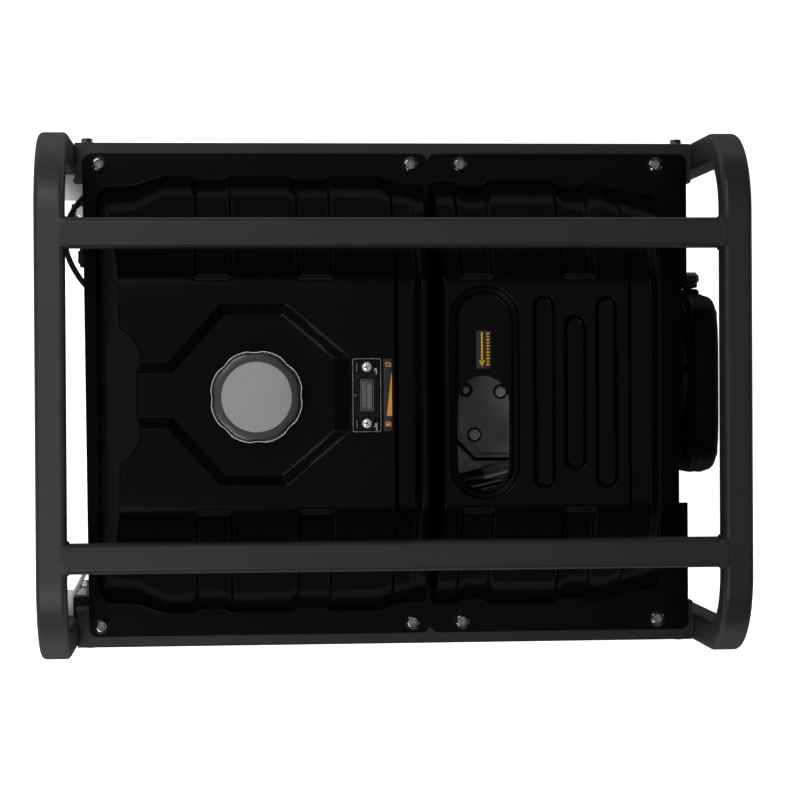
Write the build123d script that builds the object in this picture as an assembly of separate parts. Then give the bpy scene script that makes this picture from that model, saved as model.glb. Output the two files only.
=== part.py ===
from build123d import *
import math
import os

# Portable diesel generator in an open tube frame. Lengths in mm, +Z up.
# X runs from the alternator end (-X) to the recoil starter end (+X), Y+ is the rear long side.

# ---- driving dimensions -------------------------------------------------
FRAME_L = 676.0          # over the two end hoops
FRAME_W = 506.0          # over the hoop legs
FRAME_H = 650.0          # floor to the top of the tube
TUBE = 28.0              # square tube
WALL = 2.0
TUBE_R = 5.0             # tube corner radius
BEND_R = 80.0            # hoop bend, outside
BAR_Y = 152.0            # top bars, centre to middle
FOOT_H = 12.0
RAIL_TOP = 492.0         # top of the side rails that carry tank and cover
RAIL_W = 40.0
RAIL_H = 25.0
REACH = 37.0             # recoil starter beyond the hoop plane
XS = -REACH / 2          # shift that centres the whole machine on X = 0

TANK_X0, TANK_X1 = -301.0, 40.0
TANK_Y = 241.0
SHEET = 1.5
TANK_TOP = 600.0
COVER_X0, COVER_X1 = 43.0, 306.0
CAP_X, CAP_Y = -132.0, -2.0
GAUGE_X, GAUGE_Y = -26.5, -1.0

CRANK_Y, CRANK_Z = 17.0, 240.0
CYL_X = 108.0
REC_X = FRAME_L / 2 + REACH   # face of the recoil cover

os.makedirs("parts", exist_ok=True)


# ---- helpers ------------------------------------------------------------
def bx(x0, x1, y0, y1, z0, z1):
    return Pos((x0 + x1) / 2, (y0 + y1) / 2, (z0 + z1) / 2) * Box(x1 - x0, y1 - y0, z1 - z0)


def cx(x0, x1, y, z, r):
    return Pos((x0 + x1) / 2, y, z) * Rot(0, 90, 0) * Cylinder(r, x1 - x0)


def cy(y0, y1, x, z, r):
    return Pos(x, (y0 + y1) / 2, z) * Rot(90, 0, 0) * Cylinder(r, y1 - y0)


def cz(z0, z1, x, y, r):
    return Pos(x, y, (z0 + z1) / 2) * Cylinder(r, z1 - z0)


def hexz(z0, z1, x, y, af):
    p = [(x + af / 1.732 * math.cos(math.radians(60 * i)), y + af / 1.732 * math.sin(math.radians(60 * i))) for i in range(6)]
    return prism_z(p, z0, z1)


def prism_z(pts, z0, z1):
    f = make_face(Polyline(*[(a, b, z0) for a, b in pts], close=True))
    return extrude(f, z1 - z0, dir=(0, 0, 1))


def prism_x(pts, x0, x1):
    f = make_face(Polyline(*[(x0, a, b) for a, b in pts], close=True))
    return extrude(f, x1 - x0, dir=(1, 0, 0))


def prism_y(pts, y0, y1):
    f = make_face(Polyline(*[(a, y0, b) for a, b in pts], close=True))
    return extrude(f, y1 - y0, dir=(0, 1, 0))


def rnd(s, axis, r):
    return fillet(s.edges().filter_by(axis), r)


def rbox(x0, x1, y0, y1, z0, z1, r, axis=Axis.Z):
    return rnd(bx(x0, x1, y0, y1, z0, z1), axis, r)


def tube_x(x0, x1, y0, y1, z0, z1, r=TUBE_R):
    return rbox(x0, x1, y0, y1, z0, z1, r, Axis.X) - bx(x0 - 1, x1 + 1, y0 + WALL, y1 - WALL, z0 + WALL, z1 - WALL)


def tube_y(x0, x1, y0, y1, z0, z1, r=TUBE_R):
    return rbox(x0, x1, y0, y1, z0, z1, r, Axis.Y) - bx(x0 + WALL, x1 - WALL, y0 - 1, y1 + 1, z0 + WALL, z1 - WALL)


made = []


def put(name, *solids):
    placed = [Pos(XS, 0, 0) * s for s in solids]
    shape = placed[0] if len(placed) == 1 else Compound(children=[Solid(s.solids()[0].wrapped) if len(s.solids()) == 1 else s for s in placed])
    export_step(shape, "parts/" + name + ".step")
    made.append(name)


# ---- frame --------------------------------------------------------------
def hoop_outline(d):
    # inverted U in the YZ plane, inset by d from the outside of the tube
    w, h, r = FRAME_W / 2 - d, FRAME_H - d, BEND_R - d
    return w, h, r


def hoop_solid(x0, x1, d0, d1, z0):
    # the band between the outline inset by d0 and the one inset by d1
    def plate(d, zlow):
        w, h, r = hoop_outline(d)
        s = bx(x0, x1, -w, w, zlow, h)
        return fillet(s.edges().filter_by(Axis.X).group_by(Axis.Z)[-1], r)
    return plate(d0, z0) - plate(d1, z0 - 5)


for name, x0 in (("end_hoop_left", -FRAME_L / 2), ("end_hoop_right", FRAME_L / 2 - TUBE)):
    x1 = x0 + TUBE
    outer = hoop_solid(x0, x1, 0, TUBE, FOOT_H)
    long_edges = outer.edges().filter_by(lambda e: abs(e.center().X - x0) < 0.01 or abs(e.center().X - x1) < 0.01)
    long_edges = long_edges.filter_by(lambda e: not (abs(e.center().Z - FOOT_H) < 0.01))
    outer = fillet(long_edges, TUBE_R)
    inner = hoop_solid(x0 + WALL, x1 - WALL, WALL, TUBE - WALL, FOOT_H - 5)
    hoop = outer - inner
    put(name, hoop)

XI = FRAME_L / 2 - TUBE      # inner face of the hoops
for name, y in (("top_bar_front", -BAR_Y), ("top_bar_rear", BAR_Y)):
    put(name, tube_x(-XI, XI, y - TUBE / 2, y + TUBE / 2, FRAME_H - TUBE, FRAME_H))

YO = FRAME_W / 2
BOLT_X = (-286.0, 25.0, 75.0, 274.0)
for name, s in (("side_rail_front", -1), ("side_rail_rear", 1)):
    a, b = sorted((s * (YO - 1), s * (YO - 1 - RAIL_W)))
    rail = tube_x(-XI, XI, a, b, RAIL_TOP - RAIL_H, RAIL_TOP, 3.0)
    for x in BOLT_X:
        rail -= cz(RAIL_TOP - 4, RAIL_TOP + 1, x, s * 230.0, 3.3)
    put(name, rail)

BR_Y = YO - TUBE / 2
BASE_BOLT_X = 270.0
for name, s in (("base_rail_front", -1), ("base_rail_rear", 1)):
    y = s * BR_Y
    rail = tube_x(-XI, XI, y - TUBE / 2, y + TUBE / 2, FOOT_H, FOOT_H + TUBE)
    for x in (-BASE_BOLT_X, BASE_BOLT_X):
        rail -= cz(FOOT_H - 1, FOOT_H + TUBE + 1, x, y, 5.25)
    put(name, rail)

CM_Z0, CM_Z1 = FOOT_H, FOOT_H + TUBE
CROSS_X = (-215.0, 35.0, 190.0)
put("cross_members", *[tube_y(x - TUBE / 2, x + TUBE / 2, -(YO - TUBE), YO - TUBE, CM_Z0, CM_Z1) for x in CROSS_X])

# rubber feet under the base rails, outboard of the bolt holes
feet = []
for x in (-225.0, 225.0):
    for s in (-1, 1):
        foot = cz(0, FOOT_H, x, s * BR_Y, 13.5)
        foot = chamfer(foot.edges().group_by(Axis.Z)[0], 2.0)
        feet.append(foot)
# plugs that close the open lower ends of the hoop legs
plugs = []
for sx in (-1, 1):
    for s in (-1, 1):
        x, y = sx * (FRAME_L / 2 - TUBE / 2), s * BR_Y
        plug = rbox(x - 14, x + 14, y - 14, y + 14, FOOT_H - 4, FOOT_H, 4.0)
        plug += rbox(x - 11.9, x + 11.9, y - 11.9, y + 11.9, FOOT_H, FOOT_H + 14, 1.0)
        plugs.append(plug)
put("rubber_feet", *feet, *plugs)

# bolts that hold the side rails to the hoop legs, heads outside
rail_bolts = []
for x in (-298.0, 298.0):
    for s in (-1, 1):
        z = RAIL_TOP - RAIL_H / 2
        y0 = s * (YO - 1)
        h = Pos(x, y0 + s * 2.5, z) * Rot(90, 0, 0) * extrude(RegularPolygon(7.0, 6), 2.5, both=True)
        rail_bolts.append(h)
put("rail_bolts", *rail_bolts)

# flange bolts of tank and cover
panel_bolts = []
FL_TOP = RAIL_TOP + SHEET
for x in BOLT_X:
    for s in (-1, 1):
        b = cz(FL_TOP, FL_TOP + 1.4, x, s * 230.0, 7.1) + hexz(FL_TOP + 1.4, FL_TOP + 6.0, x, s * 230.0, 10.0)
        b += cz(FL_TOP - 12, FL_TOP, x, s * 230.0, 2.9)
        panel_bolts.append(b)
put("panel_bolts", *panel_bolts)

# rubber isolators between cross members and machine
iso = []
ISO_Z0, ISO_Z1 = CM_Z1, 78.0
for x, y in ((35.0, -75.0), (35.0, 109.0), (190.0, -75.0), (190.0, 109.0), (-215.0, -60.0), (-215.0, 94.0)):
    iso.append(cz(ISO_Z0, ISO_Z0 + 3, x, y, 20) + cz(ISO_Z0 + 3, ISO_Z1 - 3, x, y, 17) + cz(ISO_Z1 - 3, ISO_Z1, x, y, 20))
put("isolators", *iso)

# ---- fuel tank ----------------------------------------------------------
# upper shell: pressed pan, shoulders falling to front and rear
def shell_profile(d, y_foot, z_low, z_top, y_flat):
    return [(-y_foot + d, z_low), (-y_foot + 6 + d, 522), (-y_flat + d * 0.6, z_top - d), (y_flat - d * 0.6, z_top - d), (y_foot - 6 - d, 522), (y_foot - d, z_low)]


def end_cut(x0a, x0b, x1a, x1b, z_low, z_top, ymax):
    return prism_y([(x0a, z_low), (x0b, z_top), (x1b, z_top), (x1a, z_low)], -ymax, ymax)


def pan(x0a, x0b, x1a, x1b, y_foot, y_flat, z_top, d):
    z_low = FL_TOP - 0.001 if d == 0 else FL_TOP - 5
    p = prism_x(shell_profile(d, y_foot, z_low, z_top, y_flat), x0a - 5, x1a + 5)
    return p & end_cut(x0a + d, x0b + d, x1a - d, x1b - d, z_low, z_top - d, 300)


tank_flange = rbox(TANK_X0, TANK_X1, -TANK_Y, TANK_Y, RAIL_TOP, FL_TOP, 10.0)
upper = tank_flange + pan(-284, -265, 36.5, 33.5, 214, 112, TANK_TOP, 0)
upper -= pan(-284, -265, 36.5, 33.5, 214, 112, TANK_TOP, SHEET)
for x in BOLT_X[:2]:
    for s in (-1, 1):
        upper -= cz(RAIL_TOP - 1, FL_TOP + 1, x, s * 230.0, 3.3)
NECK_R = 36.0
upper -= cz(560, 640, CAP_X, CAP_Y, NECK_R + 0.02)
upper -= cz(560, 640, GAUGE_X, GAUGE_Y, 18.0)
put("tank_upper_shell", upper)

# lower shell: shallower pan hanging between the rails
LOW_Y, LOW_Z = 208.0, 428.0
lower = rbox(-284, 34, -LOW_Y, LOW_Y, LOW_Z, RAIL_TOP, 25.0)
lower = fillet(lower.edges().group_by(Axis.Z)[0], 12.0)
low_in = rbox(-284 + SHEET, 34 - SHEET, -LOW_Y + SHEET, LOW_Y - SHEET, LOW_Z + SHEET, RAIL_TOP + 5, 23.5)
lower -= fillet(low_in.edges().group_by(Axis.Z)[0], 10.5)
lower += rbox(-290, 40, -LOW_Y - 2.5, LOW_Y + 2.5, RAIL_TOP - SHEET, RAIL_TOP, 27.0) - rbox(-284 + SHEET, 34 - SHEET, -LOW_Y + SHEET, LOW_Y - SHEET, RAIL_TOP - 5, RAIL_TOP + 5, 23.5)
TAP_X, TAP_Y = -40.0, -110.0
lower -= cz(LOW_Z - 5, LOW_Z + 20, TAP_X, TAP_Y, 6.0)
put("tank_lower_shell", lower)

# filler neck with rolled rim, strainer hanging inside
NECK_TOP = 612.0
neck = cz(592, NECK_TOP, CAP_X, CAP_Y, NECK_R) + cz(NECK_TOP - 3, NECK_TOP, CAP_X, CAP_Y, NECK_R + 2.0)
neck -= cz(590, NECK_TOP + 1, CAP_X, CAP_Y, NECK_R - 2.0)
put("filler_neck", neck)

ST_R, ST_Z = 31.0, 532.0
strainer = cz(ST_Z, NECK_TOP, CAP_X, CAP_Y, ST_R) - cz(ST_Z + 1.5, NECK_TOP + 1, CAP_X, CAP_Y, ST_R - 1.2)
strainer += cz(NECK_TOP, NECK_TOP + 1.2, CAP_X, CAP_Y, NECK_R) - cz(NECK_TOP - 1, NECK_TOP + 2, CAP_X, CAP_Y, ST_R - 1.2)
put("strainer", strainer)

# sprung seal disc under the cap, and the cap shell that turns over it
SEAL_Z = NECK_TOP + 1.2 + 0.3
seal = cz(SEAL_Z, SEAL_Z + 2.5, CAP_X, CAP_Y, 35.0)
seal += cz(SEAL_Z + 2.5, SEAL_Z + 7.0, CAP_X, CAP_Y, 7.95)
put("cap_seal", seal)

CAP_R, CAP_TOP = 44.0, 626.0
cap = cz(602, CAP_TOP, CAP_X, CAP_Y, CAP_R)
cap = fillet(cap.edges().group_by(Axis.Z)[-1], 4.0)
cap -= cz(601, SEAL_Z + 3.0, CAP_X, CAP_Y, 40.5)
cap -= cz(SEAL_Z + 2.0, SEAL_Z + 7.3, CAP_X, CAP_Y, 8.0)
for i in range(8):
    a = math.radians(45 * i + 22.5)
    cap -= cz(600, 630, CAP_X + (CAP_R + 14.0) * math.cos(a), CAP_Y + (CAP_R + 14.0) * math.sin(a), 15.0)
put("fuel_cap", cap)

# fuel gauge: body with window, lens, screws, float arm and indicator drum
GX0, GX1, GY0, GY1 = GAUGE_X - 14, GAUGE_X + 14, GAUGE_Y - 35, GAUGE_Y + 35
GZ = TANK_TOP
g = rbox(GX0, GX1, GY0, GY1, GZ, GZ + 6, 5.0)
g += cz(GZ - 24, GZ, GAUGE_X, GAUGE_Y, 17.5)
g -= bx(GAUGE_X - 6, GAUGE_X + 6, GAUGE_Y - 14, GAUGE_Y + 14, GZ - 20, GZ + 7)
g += bx(GAUGE_X - 6, GAUGE_X - 4.5, GAUGE_Y - 2, GAUGE_Y + 2, GZ - 20, GZ - 19)
AR_Z = GZ - 30.0
ears = bx(GAUGE_X - 9, GAUGE_X - 6.5, GAUGE_Y - 4, GAUGE_Y + 4, AR_Z - 4, GZ - 24) + bx(GAUGE_X + 6.5, GAUGE_X + 9, GAUGE_Y - 4, GAUGE_Y + 4, AR_Z - 4, GZ - 24)
g += ears
g -= cx(GAUGE_X - 12, GAUGE_X + 12, GAUGE_Y, AR_Z, 1.55)
g -= cx(GAUGE_X - 12, GAUGE_X + 12, GAUGE_Y, GZ - 10, 1.05)
g -= cz(GZ + 2, GZ + 7, GAUGE_X, GAUGE_Y - 27, 4.6)
g -= cz(GZ + 2, GZ + 7, GAUGE_X, GAUGE_Y + 27, 4.6)
g -= bx(GAUGE_X - 7.5, GAUGE_X + 7.5, GAUGE_Y - 16, GAUGE_Y + 16, GZ + 3.5, GZ + 7)
put("gauge_body", g)
put("gauge_lens", bx(GAUGE_X - 7.5, GAUGE_X + 7.5, GAUGE_Y - 16, GAUGE_Y + 16, GZ + 3.5, GZ + 5.5))
scr = []
for s in (-1, 1):
    h = cz(GZ + 2, GZ + 5.5, GAUGE_X, GAUGE_Y + s * 27, 4.4)
    h -= bx(GAUGE_X - 2.6, GAUGE_X + 2.6, GAUGE_Y + s * 27 - 0.5, GAUGE_Y + s * 27 + 0.5, GZ + 4, GZ + 6)
    h -= bx(GAUGE_X - 0.5, GAUGE_X + 0.5, GAUGE_Y + s * 27 - 2.6, GAUGE_Y + s * 27 + 2.6, GZ + 4, GZ + 6)
    scr.append(h)
put("gauge_screws", *scr)
# float arm swings about a pin along X below the gauge body
arm = cx(GAUGE_X - 9, GAUGE_X + 9, GAUGE_Y, AR_Z, 1.5)
arm += bx(GAUGE_X - 2, GAUGE_X + 2, GAUGE_Y - 1.5, GAUGE_Y + 70, AR_Z - 1.5, AR_Z + 1.5)
arm += cx(GAUGE_X - 16, GAUGE_X + 16, GAUGE_Y + 80, AR_Z, 13.0)
# stored hanging, as in an empty tank
arm = Pos(0, GAUGE_Y, AR_Z) * Rot(-50, 0, 0) * Pos(0, -GAUGE_Y, -AR_Z) * arm
put("float_arm", arm)
# small drum that shows the level under the window
ind = cx(GAUGE_X - 6 + 0.01, GAUGE_X + 6 - 0.01, GAUGE_Y, GZ - 10, 1.0)
ind += cx(GAUGE_X - 5.0, GAUGE_X + 5.0, GAUGE_Y, GZ - 10, 8.5)
put("gauge_indicator", ind)

# fuel tap under the tank with its lever
tap = cz(LOW_Z - 22, LOW_Z - 0.0, TAP_X, TAP_Y, 9.0) + cz(LOW_Z, LOW_Z + 8, TAP_X, TAP_Y, 5.9)
tap += cz(LOW_Z - 36, LOW_Z - 22, TAP_X, TAP_Y, 4.0)
tap += cy(TAP_Y - 16, TAP_Y, TAP_X, LOW_Z - 13, 6.5)
tap -= cy(TAP_Y - 17, TAP_Y - 4, TAP_X, LOW_Z - 13, 3.55)
put("fuel_tap", tap)
lev = cy(TAP_Y - 22, TAP_Y - 5, TAP_X, LOW_Z - 13, 3.5)
lev += rbox(TAP_X - 5, TAP_X + 30, TAP_Y - 21, TAP_Y - 17, LOW_Z - 18, LOW_Z - 8, 4.0, Axis.Y)
put("fuel_tap_lever", lev)

# ---- engine cover -------------------------------------------------------
cover = rbox(COVER_X0, COVER_X1, -TANK_Y, TANK_Y, RAIL_TOP, FL_TOP, 8.0)
cover += pan(45, 46.5, 273, 267, 212, 112, TANK_TOP, 0)
cover -= pan(45, 46.5, 273, 267, 212, 112, TANK_TOP, SHEET)
for x in BOLT_X[2:]:
    for s in (-1, 1):
        cover -= cz(RAIL_TOP - 1, FL_TOP + 1, x, s * 230.0, 3.3)
# the flange is cut back beside the recoil starter
cover -= bx(COVER_X1 - 8.5, COVER_X1 + 1, -113, 111, RAIL_TOP - 1, FL_TOP + 1)
SLOT_X, SLOT_W, SLOT_Y0, SLOT_Y1 = 86.5, 50.0, -93.0, 17.0
slot = cz(560, 620, SLOT_X, SLOT_Y0 + SLOT_W / 2, SLOT_W / 2) + cz(560, 620, SLOT_X, SLOT_Y1 - SLOT_W / 2, SLOT_W / 2)
slot += bx(SLOT_X - SLOT_W / 2, SLOT_X + SLOT_W / 2, SLOT_Y0 + SLOT_W / 2, SLOT_Y1 - SLOT_W / 2, 560, 620)
cover -= slot
put("top_cover", cover)

# ---- engine -------------------------------------------------------------
CC_X0, CC_X1 = 8.0, 214.0
case = rbox(CC_X0, CC_X1, CRANK_Y - 104, CRANK_Y + 104, 92, 300, 18.0, Axis.X)
case = fillet(case.edges().group_by(Axis.Z)[-1], 6.0)
case += bx(18, 204, CRANK_Y - 110, CRANK_Y + 110, ISO_Z1, 92)
case -= cx(CC_X0 + 14, CC_X1 - 14, CRANK_Y, CRANK_Z, 58.0)
case -= cx(CC_X0 - 1, CC_X1 + 1, CRANK_Y, CRANK_Z, 20.05)
case -= cz(CRANK_Z, 301, CYL_X, CRANK_Y, 43.0)
for k in range(5):
    x = 40 + k * 36
    case += bx(x - 2.5, x + 2.5, CRANK_Y - 109, CRANK_Y - 103, 115, 262)
DIP_X = 58.0
DIP_Y = CRANK_Y - 117
case += cz(106, 172, DIP_X, DIP_Y, 12) + bx(DIP_X - 8, DIP_X + 8, DIP_Y, CRANK_Y - 103, 106, 172)
case -= cz(110, 173, DIP_X, DIP_Y, 7.0)
SPX, SPY = 196.0, CRANK_Y - 84.0
case += cz(298, 309, SPX, SPY, 8.0)
case -= cz(294, 310, SPX, SPY, 3.05)
put("crankcase", case)

fins = []
cyl = cz(300, 386, CYL_X, CRANK_Y, 54)
for k in range(8):
    z = 308 + k * 9.6
    cyl += rbox(CYL_X - 68, CYL_X + 68, CRANK_Y - 70, CRANK_Y + 70, z, z + 2.6, 14.0)
cyl += rbox(CYL_X - 60, CYL_X + 60, CRANK_Y - 60, CRANK_Y + 60, 300, 306, 10.0)
cyl -= cz(299, 387, CYL_X, CRANK_Y, 43.0)
put("cylinder", cyl)

INJ_X, INJ_Y = 140.0, -92.0
head = rbox(CYL_X - 62, CYL_X + 62, -104, 84, 386, 400, 12.0)
head += rbox(CYL_X - 50, CYL_X + 56, -90, 76, 400, 428, 10.0)
for k in range(3):
    head += rbox(CYL_X - 62, CYL_X + 62, -104, 84, 404 + k * 8, 407 + k * 8, 12.0)
head -= cz(396, 429, INJ_X, INJ_Y, 6.0)
head -= cy(60, 85, 118.0, 415.0, 11.0)
put("cylinder_head", head)

RC_TOP = 452.0
rc_pts = [(70, -40), (96, -67), (152, -67), (152, 62), (70, 62)]
rocker = prism_z(rc_pts, 428, 433)
rc2 = [(74, -38), (98, -63), (148, -63), (148, 58), (74, 58)]
top = prism_z(rc2, 433, RC_TOP)
top = fillet(top.edges().filter_by(Axis.Z), 6.0)
top = fillet(top.edges().group_by(Axis.Z)[-1], 5.0)
rocker += top
LEV_X, LEV_Y, LEV_Z = 104.0, 38.0, RC_TOP
rocker += cz(RC_TOP - 2, RC_TOP + 6, LEV_X, LEV_Y, 10.0)
rocker -= cz(RC_TOP - 8, RC_TOP + 7, LEV_X, LEV_Y, 4.05)
put("rocker_cover", rocker)
rb = []
for x, y in ((84, 2), (122, 0), (92, -43), (138, -52)):
    rb.append(cz(RC_TOP, RC_TOP + 1.4, x, y, 6.5) + hexz(RC_TOP + 1.4, RC_TOP + 6, x, y, 9.0))
put("rocker_cover_bolts", *rb)
# decompression lever, returns by itself
dl = cz(RC_TOP - 7, RC_TOP + 12, LEV_X, LEV_Y, 4.0)
la = bx(-4.5, 4.5, -26, 5, RC_TOP + 8, RC_TOP + 12) + rbox(-4.5, 4.5, -36, -26, RC_TOP + 8, RC_TOP + 18, 3.0)
dl += Pos(LEV_X, LEV_Y, 0) * Rot(0, 0, -45) * la
put("decompression_lever", dl)

# blower housing around the flywheel, open towards the engine for the air path
BH_X0, BH_X1, BH_R = 216.0, 346.0, 105.0
bh = cx(BH_X0, BH_X1, CRANK_Y, CRANK_Z, BH_R)
bh = fillet(bh.edges().group_by(Axis.X)[-1], 14.0)
duct = rbox(BH_X0, 290, CRANK_Y - 84, CRANK_Y + 84, CRANK_Z, 418, 14.0, Axis.X)
bh += duct
bh_in = cx(BH_X0 + 2.0, BH_X1 - 2.5, CRANK_Y, CRANK_Z, BH_R - 2.5)
bh -= fillet(bh_in.edges().group_by(Axis.X)[-1], 11.5)
bh -= bx(BH_X0 + 2.0, 287.5, CRANK_Y - 81.5, CRANK_Y + 81.5, CRANK_Z, 415.5)
bh -= bx(BH_X0 - 1, BH_X0 + 3, CRANK_Y - 66, CRANK_Y + 66, 310, 410)
bh -= cx(BH_X0 - 1, BH_X0 + 4, CRANK_Y, CRANK_Z, 30.0)
bh -= cx(BH_X1 - 4, BH_X1 + 1, CRANK_Y, CRANK_Z, 78.0)
put("blower_housing", bh)

# recoil starter cover with its air slots
REC_Y = CRANK_Y - 8.5
rc = rbox(BH_X1, REC_X, REC_Y - 98, REC_Y + 98, CRANK_Z - 98, CRANK_Z + 98, 44.0, Axis.X)
rc = chamfer(rc.edges().group_by(Axis.X)[-1], 12.0)
rc -= cx(BH_X1 - 1, REC_X - 3.0, CRANK_Y, CRANK_Z, 80.0)
rc += cx(REC_X - 18, REC_X - 1, CRANK_Y, CRANK_Z, 9.0)
for i in range(12):
    a = 30 * i
    sl = Pos(REC_X - 4, CRANK_Y, CRANK_Z) * Rot(a, 0, 0) * Pos(0, 0, 57) * Box(14, 7, 24)
    rc -= sl
outlet = rbox(BH_X1 - 2, REC_X - 10, CRANK_Y + 70, CRANK_Y + 97, CRANK_Z - 6, CRANK_Z + 26, 5.0, Axis.Y)
rc += outlet - cx(BH_X1 - 3, REC_X - 5, CRANK_Y, CRANK_Z, 80.0)
rc -= cx(BH_X1 - 3, BH_X1, CRANK_Y, CRANK_Z, 140.0)
rc -= cy(CRANK_Y + 60, CRANK_Y + 120, BH_X1 + 10, CRANK_Z + 10, 3.5)
put("recoil_cover", rc)
pul = cx(BH_X1 + 2, BH_X1 + 18, CRANK_Y, CRANK_Z, 50.0) - cx(BH_X1 + 7, BH_X1 + 13, CRANK_Y, CRANK_Z, 60.0)
pul += cx(BH_X1 + 3, BH_X1 + 17, CRANK_Y, CRANK_Z, 42.0)
pul -= cx(BH_X1 + 1, BH_X1 + 19, CRANK_Y, CRANK_Z, 9.05)
put("recoil_pulley", pul)
hy = CRANK_Y + 97.3
hx, hz = BH_X1 + 10, CRANK_Z + 10
handle = cy(hy, hy + 6, hx, hz, 6.0)
handle += rbox(hx - 9, hx + 9, hy + 4, hy + 17, hz - 28, hz + 28, 6.0, Axis.X)
handle += cy(hy - 6, hy, hx, hz, 3.0)
put("recoil_handle", handle)

# crankshaft, flywheel and rotor turn together
crank = cx(-268, 300, CRANK_Y, CRANK_Z, 12.5)
crank += cx(-8, 232, CRANK_Y, CRANK_Z, 20.0)
crank -= bx(CYL_X - 17, CYL_X + 17, CRANK_Y - 25, CRANK_Y + 25, CRANK_Z - 25, CRANK_Z + 25)
for s in (-1, 1):
    a, b = sorted((CYL_X + s * 17, CYL_X + s * 35))
    crank += bx(a, b, CRANK_Y - 24, CRANK_Y + 24, CRANK_Z - 50, CRANK_Z + 48)
crank += cx(CYL_X - 17, CYL_X + 17, CRANK_Y, CRANK_Z + 30, 17.0)
put("crankshaft", crank)
fw = cx(236, 262, CRANK_Y, CRANK_Z, 96.0) - cx(256, 263, CRANK_Y, CRANK_Z, 70.0)
fw += cx(232, 268, CRANK_Y, CRANK_Z, 30.0)
for i in range(16):
    fw += Pos(272, CRANK_Y, CRANK_Z) * Rot(360 / 16 * i, 0, 0) * Pos(0, 0, 82) * Rot(0, 0, 25) * Box(24, 3, 22)
fw -= cx(231, 269, CRANK_Y, CRANK_Z, 20.0) & cx(231, 232.01, CRANK_Y, CRANK_Z, 20.0)
fw -= cx(231, 300, CRANK_Y, CRANK_Z, 12.5)
put("flywheel_fan", fw)

# injection system
pump = rbox(150, 186, CRANK_Y - 142, CRANK_Y - 109.2, 210, 262, 5.0, Axis.X)
pump += cz(262, 290, 168, CRANK_Y - 126, 10.0)
put("injection_pump", pump)
inj = cz(398, 428, INJ_X, INJ_Y, 5.9) + hexz(428, 446, INJ_X, INJ_Y, 15.0) + cz(446, 462, INJ_X, INJ_Y, 5.0)
put("injector", inj)
path = FilletPolyline((168, CRANK_Y - 126, 290.2), (168, CRANK_Y - 126, 450), (168, INJ_Y, 478), (INJ_X, INJ_Y, 478), (INJ_X, INJ_Y, 462.2), radius=7)
pipe = sweep(Plane(origin=path @ 0, z_dir=path % 0) * Circle(3.0), path=path)
put("injector_pipe", pipe)
path = FilletPolyline((TAP_X, TAP_Y, LOW_Z - 36.3), (TAP_X, TAP_Y, LOW_Z - 90), (TAP_X + 60, TAP_Y, LOW_Z - 130), (130, TAP_Y, 262), (130, CRANK_Y - 126, 236), (149.6, CRANK_Y - 126, 236), radius=7)
hose = sweep(Plane(origin=path @ 0, z_dir=path % 0) * Circle(4.0), path=path)
put("fuel_hose", hose)

# breather pipe that crosses below the access slot
path = FilletPolyline((36, -97, 444), (70, -89.5, 446), (150, -70, 446), (168, -64, 446), (168, -38, 446), (148.3, -38, 446), radius=8)
br = sweep(Plane(origin=path @ 0, z_dir=path % 0) * Circle(4.5), path=path)
put("breather_hose", br)

# air cleaner at the rear, exhaust silencer beside it
ac = cz(330, 440, 150, 165, 44.0)
ac = fillet(ac.edges().group_by(Axis.Z)[-1], 8.0)
ac += rbox(106, 150, 84.3, 150, 404, 424, 6.0, Axis.Y)
put("air_cleaner", ac)
mf = rbox(-60, 74, 96, 196, 320, 418, 26.0, Axis.X)
mf += bx(54, 66, 84.3, 98, 386, 414)
mf += cx(-92, -60, 146, 382, 15.0)
mf -= cx(-93, -40, 146, 382, 12.0)
put("muffler", mf)

dip = cz(172.3, 186, DIP_X, DIP_Y, 12.0) + cz(112, 172.3, DIP_X, DIP_Y, 3.0)
for i in range(6):
    a = math.radians(60 * i)
    dip -= cz(175, 187, DIP_X + 14.5 * math.cos(a), DIP_Y + 14.5 * math.sin(a), 4.0)
put("dipstick", dip)
# governor speed lever on its boss
sl = cz(296, 318, SPX, SPY, 3.0) + bx(SPX - 4, SPX + 4, SPY - 62, SPY, 310, 313) + cz(310, 330, SPX, SPY - 62, 6.0)
put("speed_lever", sl)

# ---- alternator ---------------------------------------------------------
AD_X = 8.0
ad = cx(-34, AD_X, CRANK_Y, CRANK_Z, 96.0) - cx(-35, AD_X - 8, CRANK_Y, CRANK_Z, 84.0) - cx(-1, AD_X + 1, CRANK_Y, CRANK_Z, 42.0)
for i in range(8):
    ad -= Pos(-14, CRANK_Y, CRANK_Z) * Rot(45 * i + 22.5, 0, 0) * Pos(0, 0, 90) * Box(22, 34, 26)
put("adapter_flange", ad)
stt = cx(-206, -34, CRANK_Y, CRANK_Z, 96.0)
stt -= cx(-207, -33, CRANK_Y, CRANK_Z, 62.0)
for i in range(4):
    stt += Pos(-120, CRANK_Y, CRANK_Z) * Rot(90 * i + 45, 0, 0) * Pos(0, 0, 97) * Box(172, 18, 10)
foot = bx(-235, -195, CRANK_Y - 88, CRANK_Y + 88, ISO_Z1, 86)
foot += bx(-235, -208, CRANK_Y - 70, CRANK_Y + 70, 86, 150)
foot += bx(-208, -190, CRANK_Y - 60, CRANK_Y + 60, 86, 168)
foot -= cx(-236, -205.7, CRANK_Y, CRANK_Z, 92.4) + cx(-210, -189, CRANK_Y, CRANK_Z, 90.0)
put("stator", stt + foot)
ec = cx(-276, -206, CRANK_Y, CRANK_Z, 92.0)
ec = fillet(ec.edges().group_by(Axis.X)[0], 14.0)
ec_in = cx(-273, -205, CRANK_Y, CRANK_Z, 88.0)
ec -= fillet(ec_in.edges().group_by(Axis.X)[0], 11.0)
ec += cx(-262, -206, CRANK_Y, CRANK_Z, 26.0)
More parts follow.
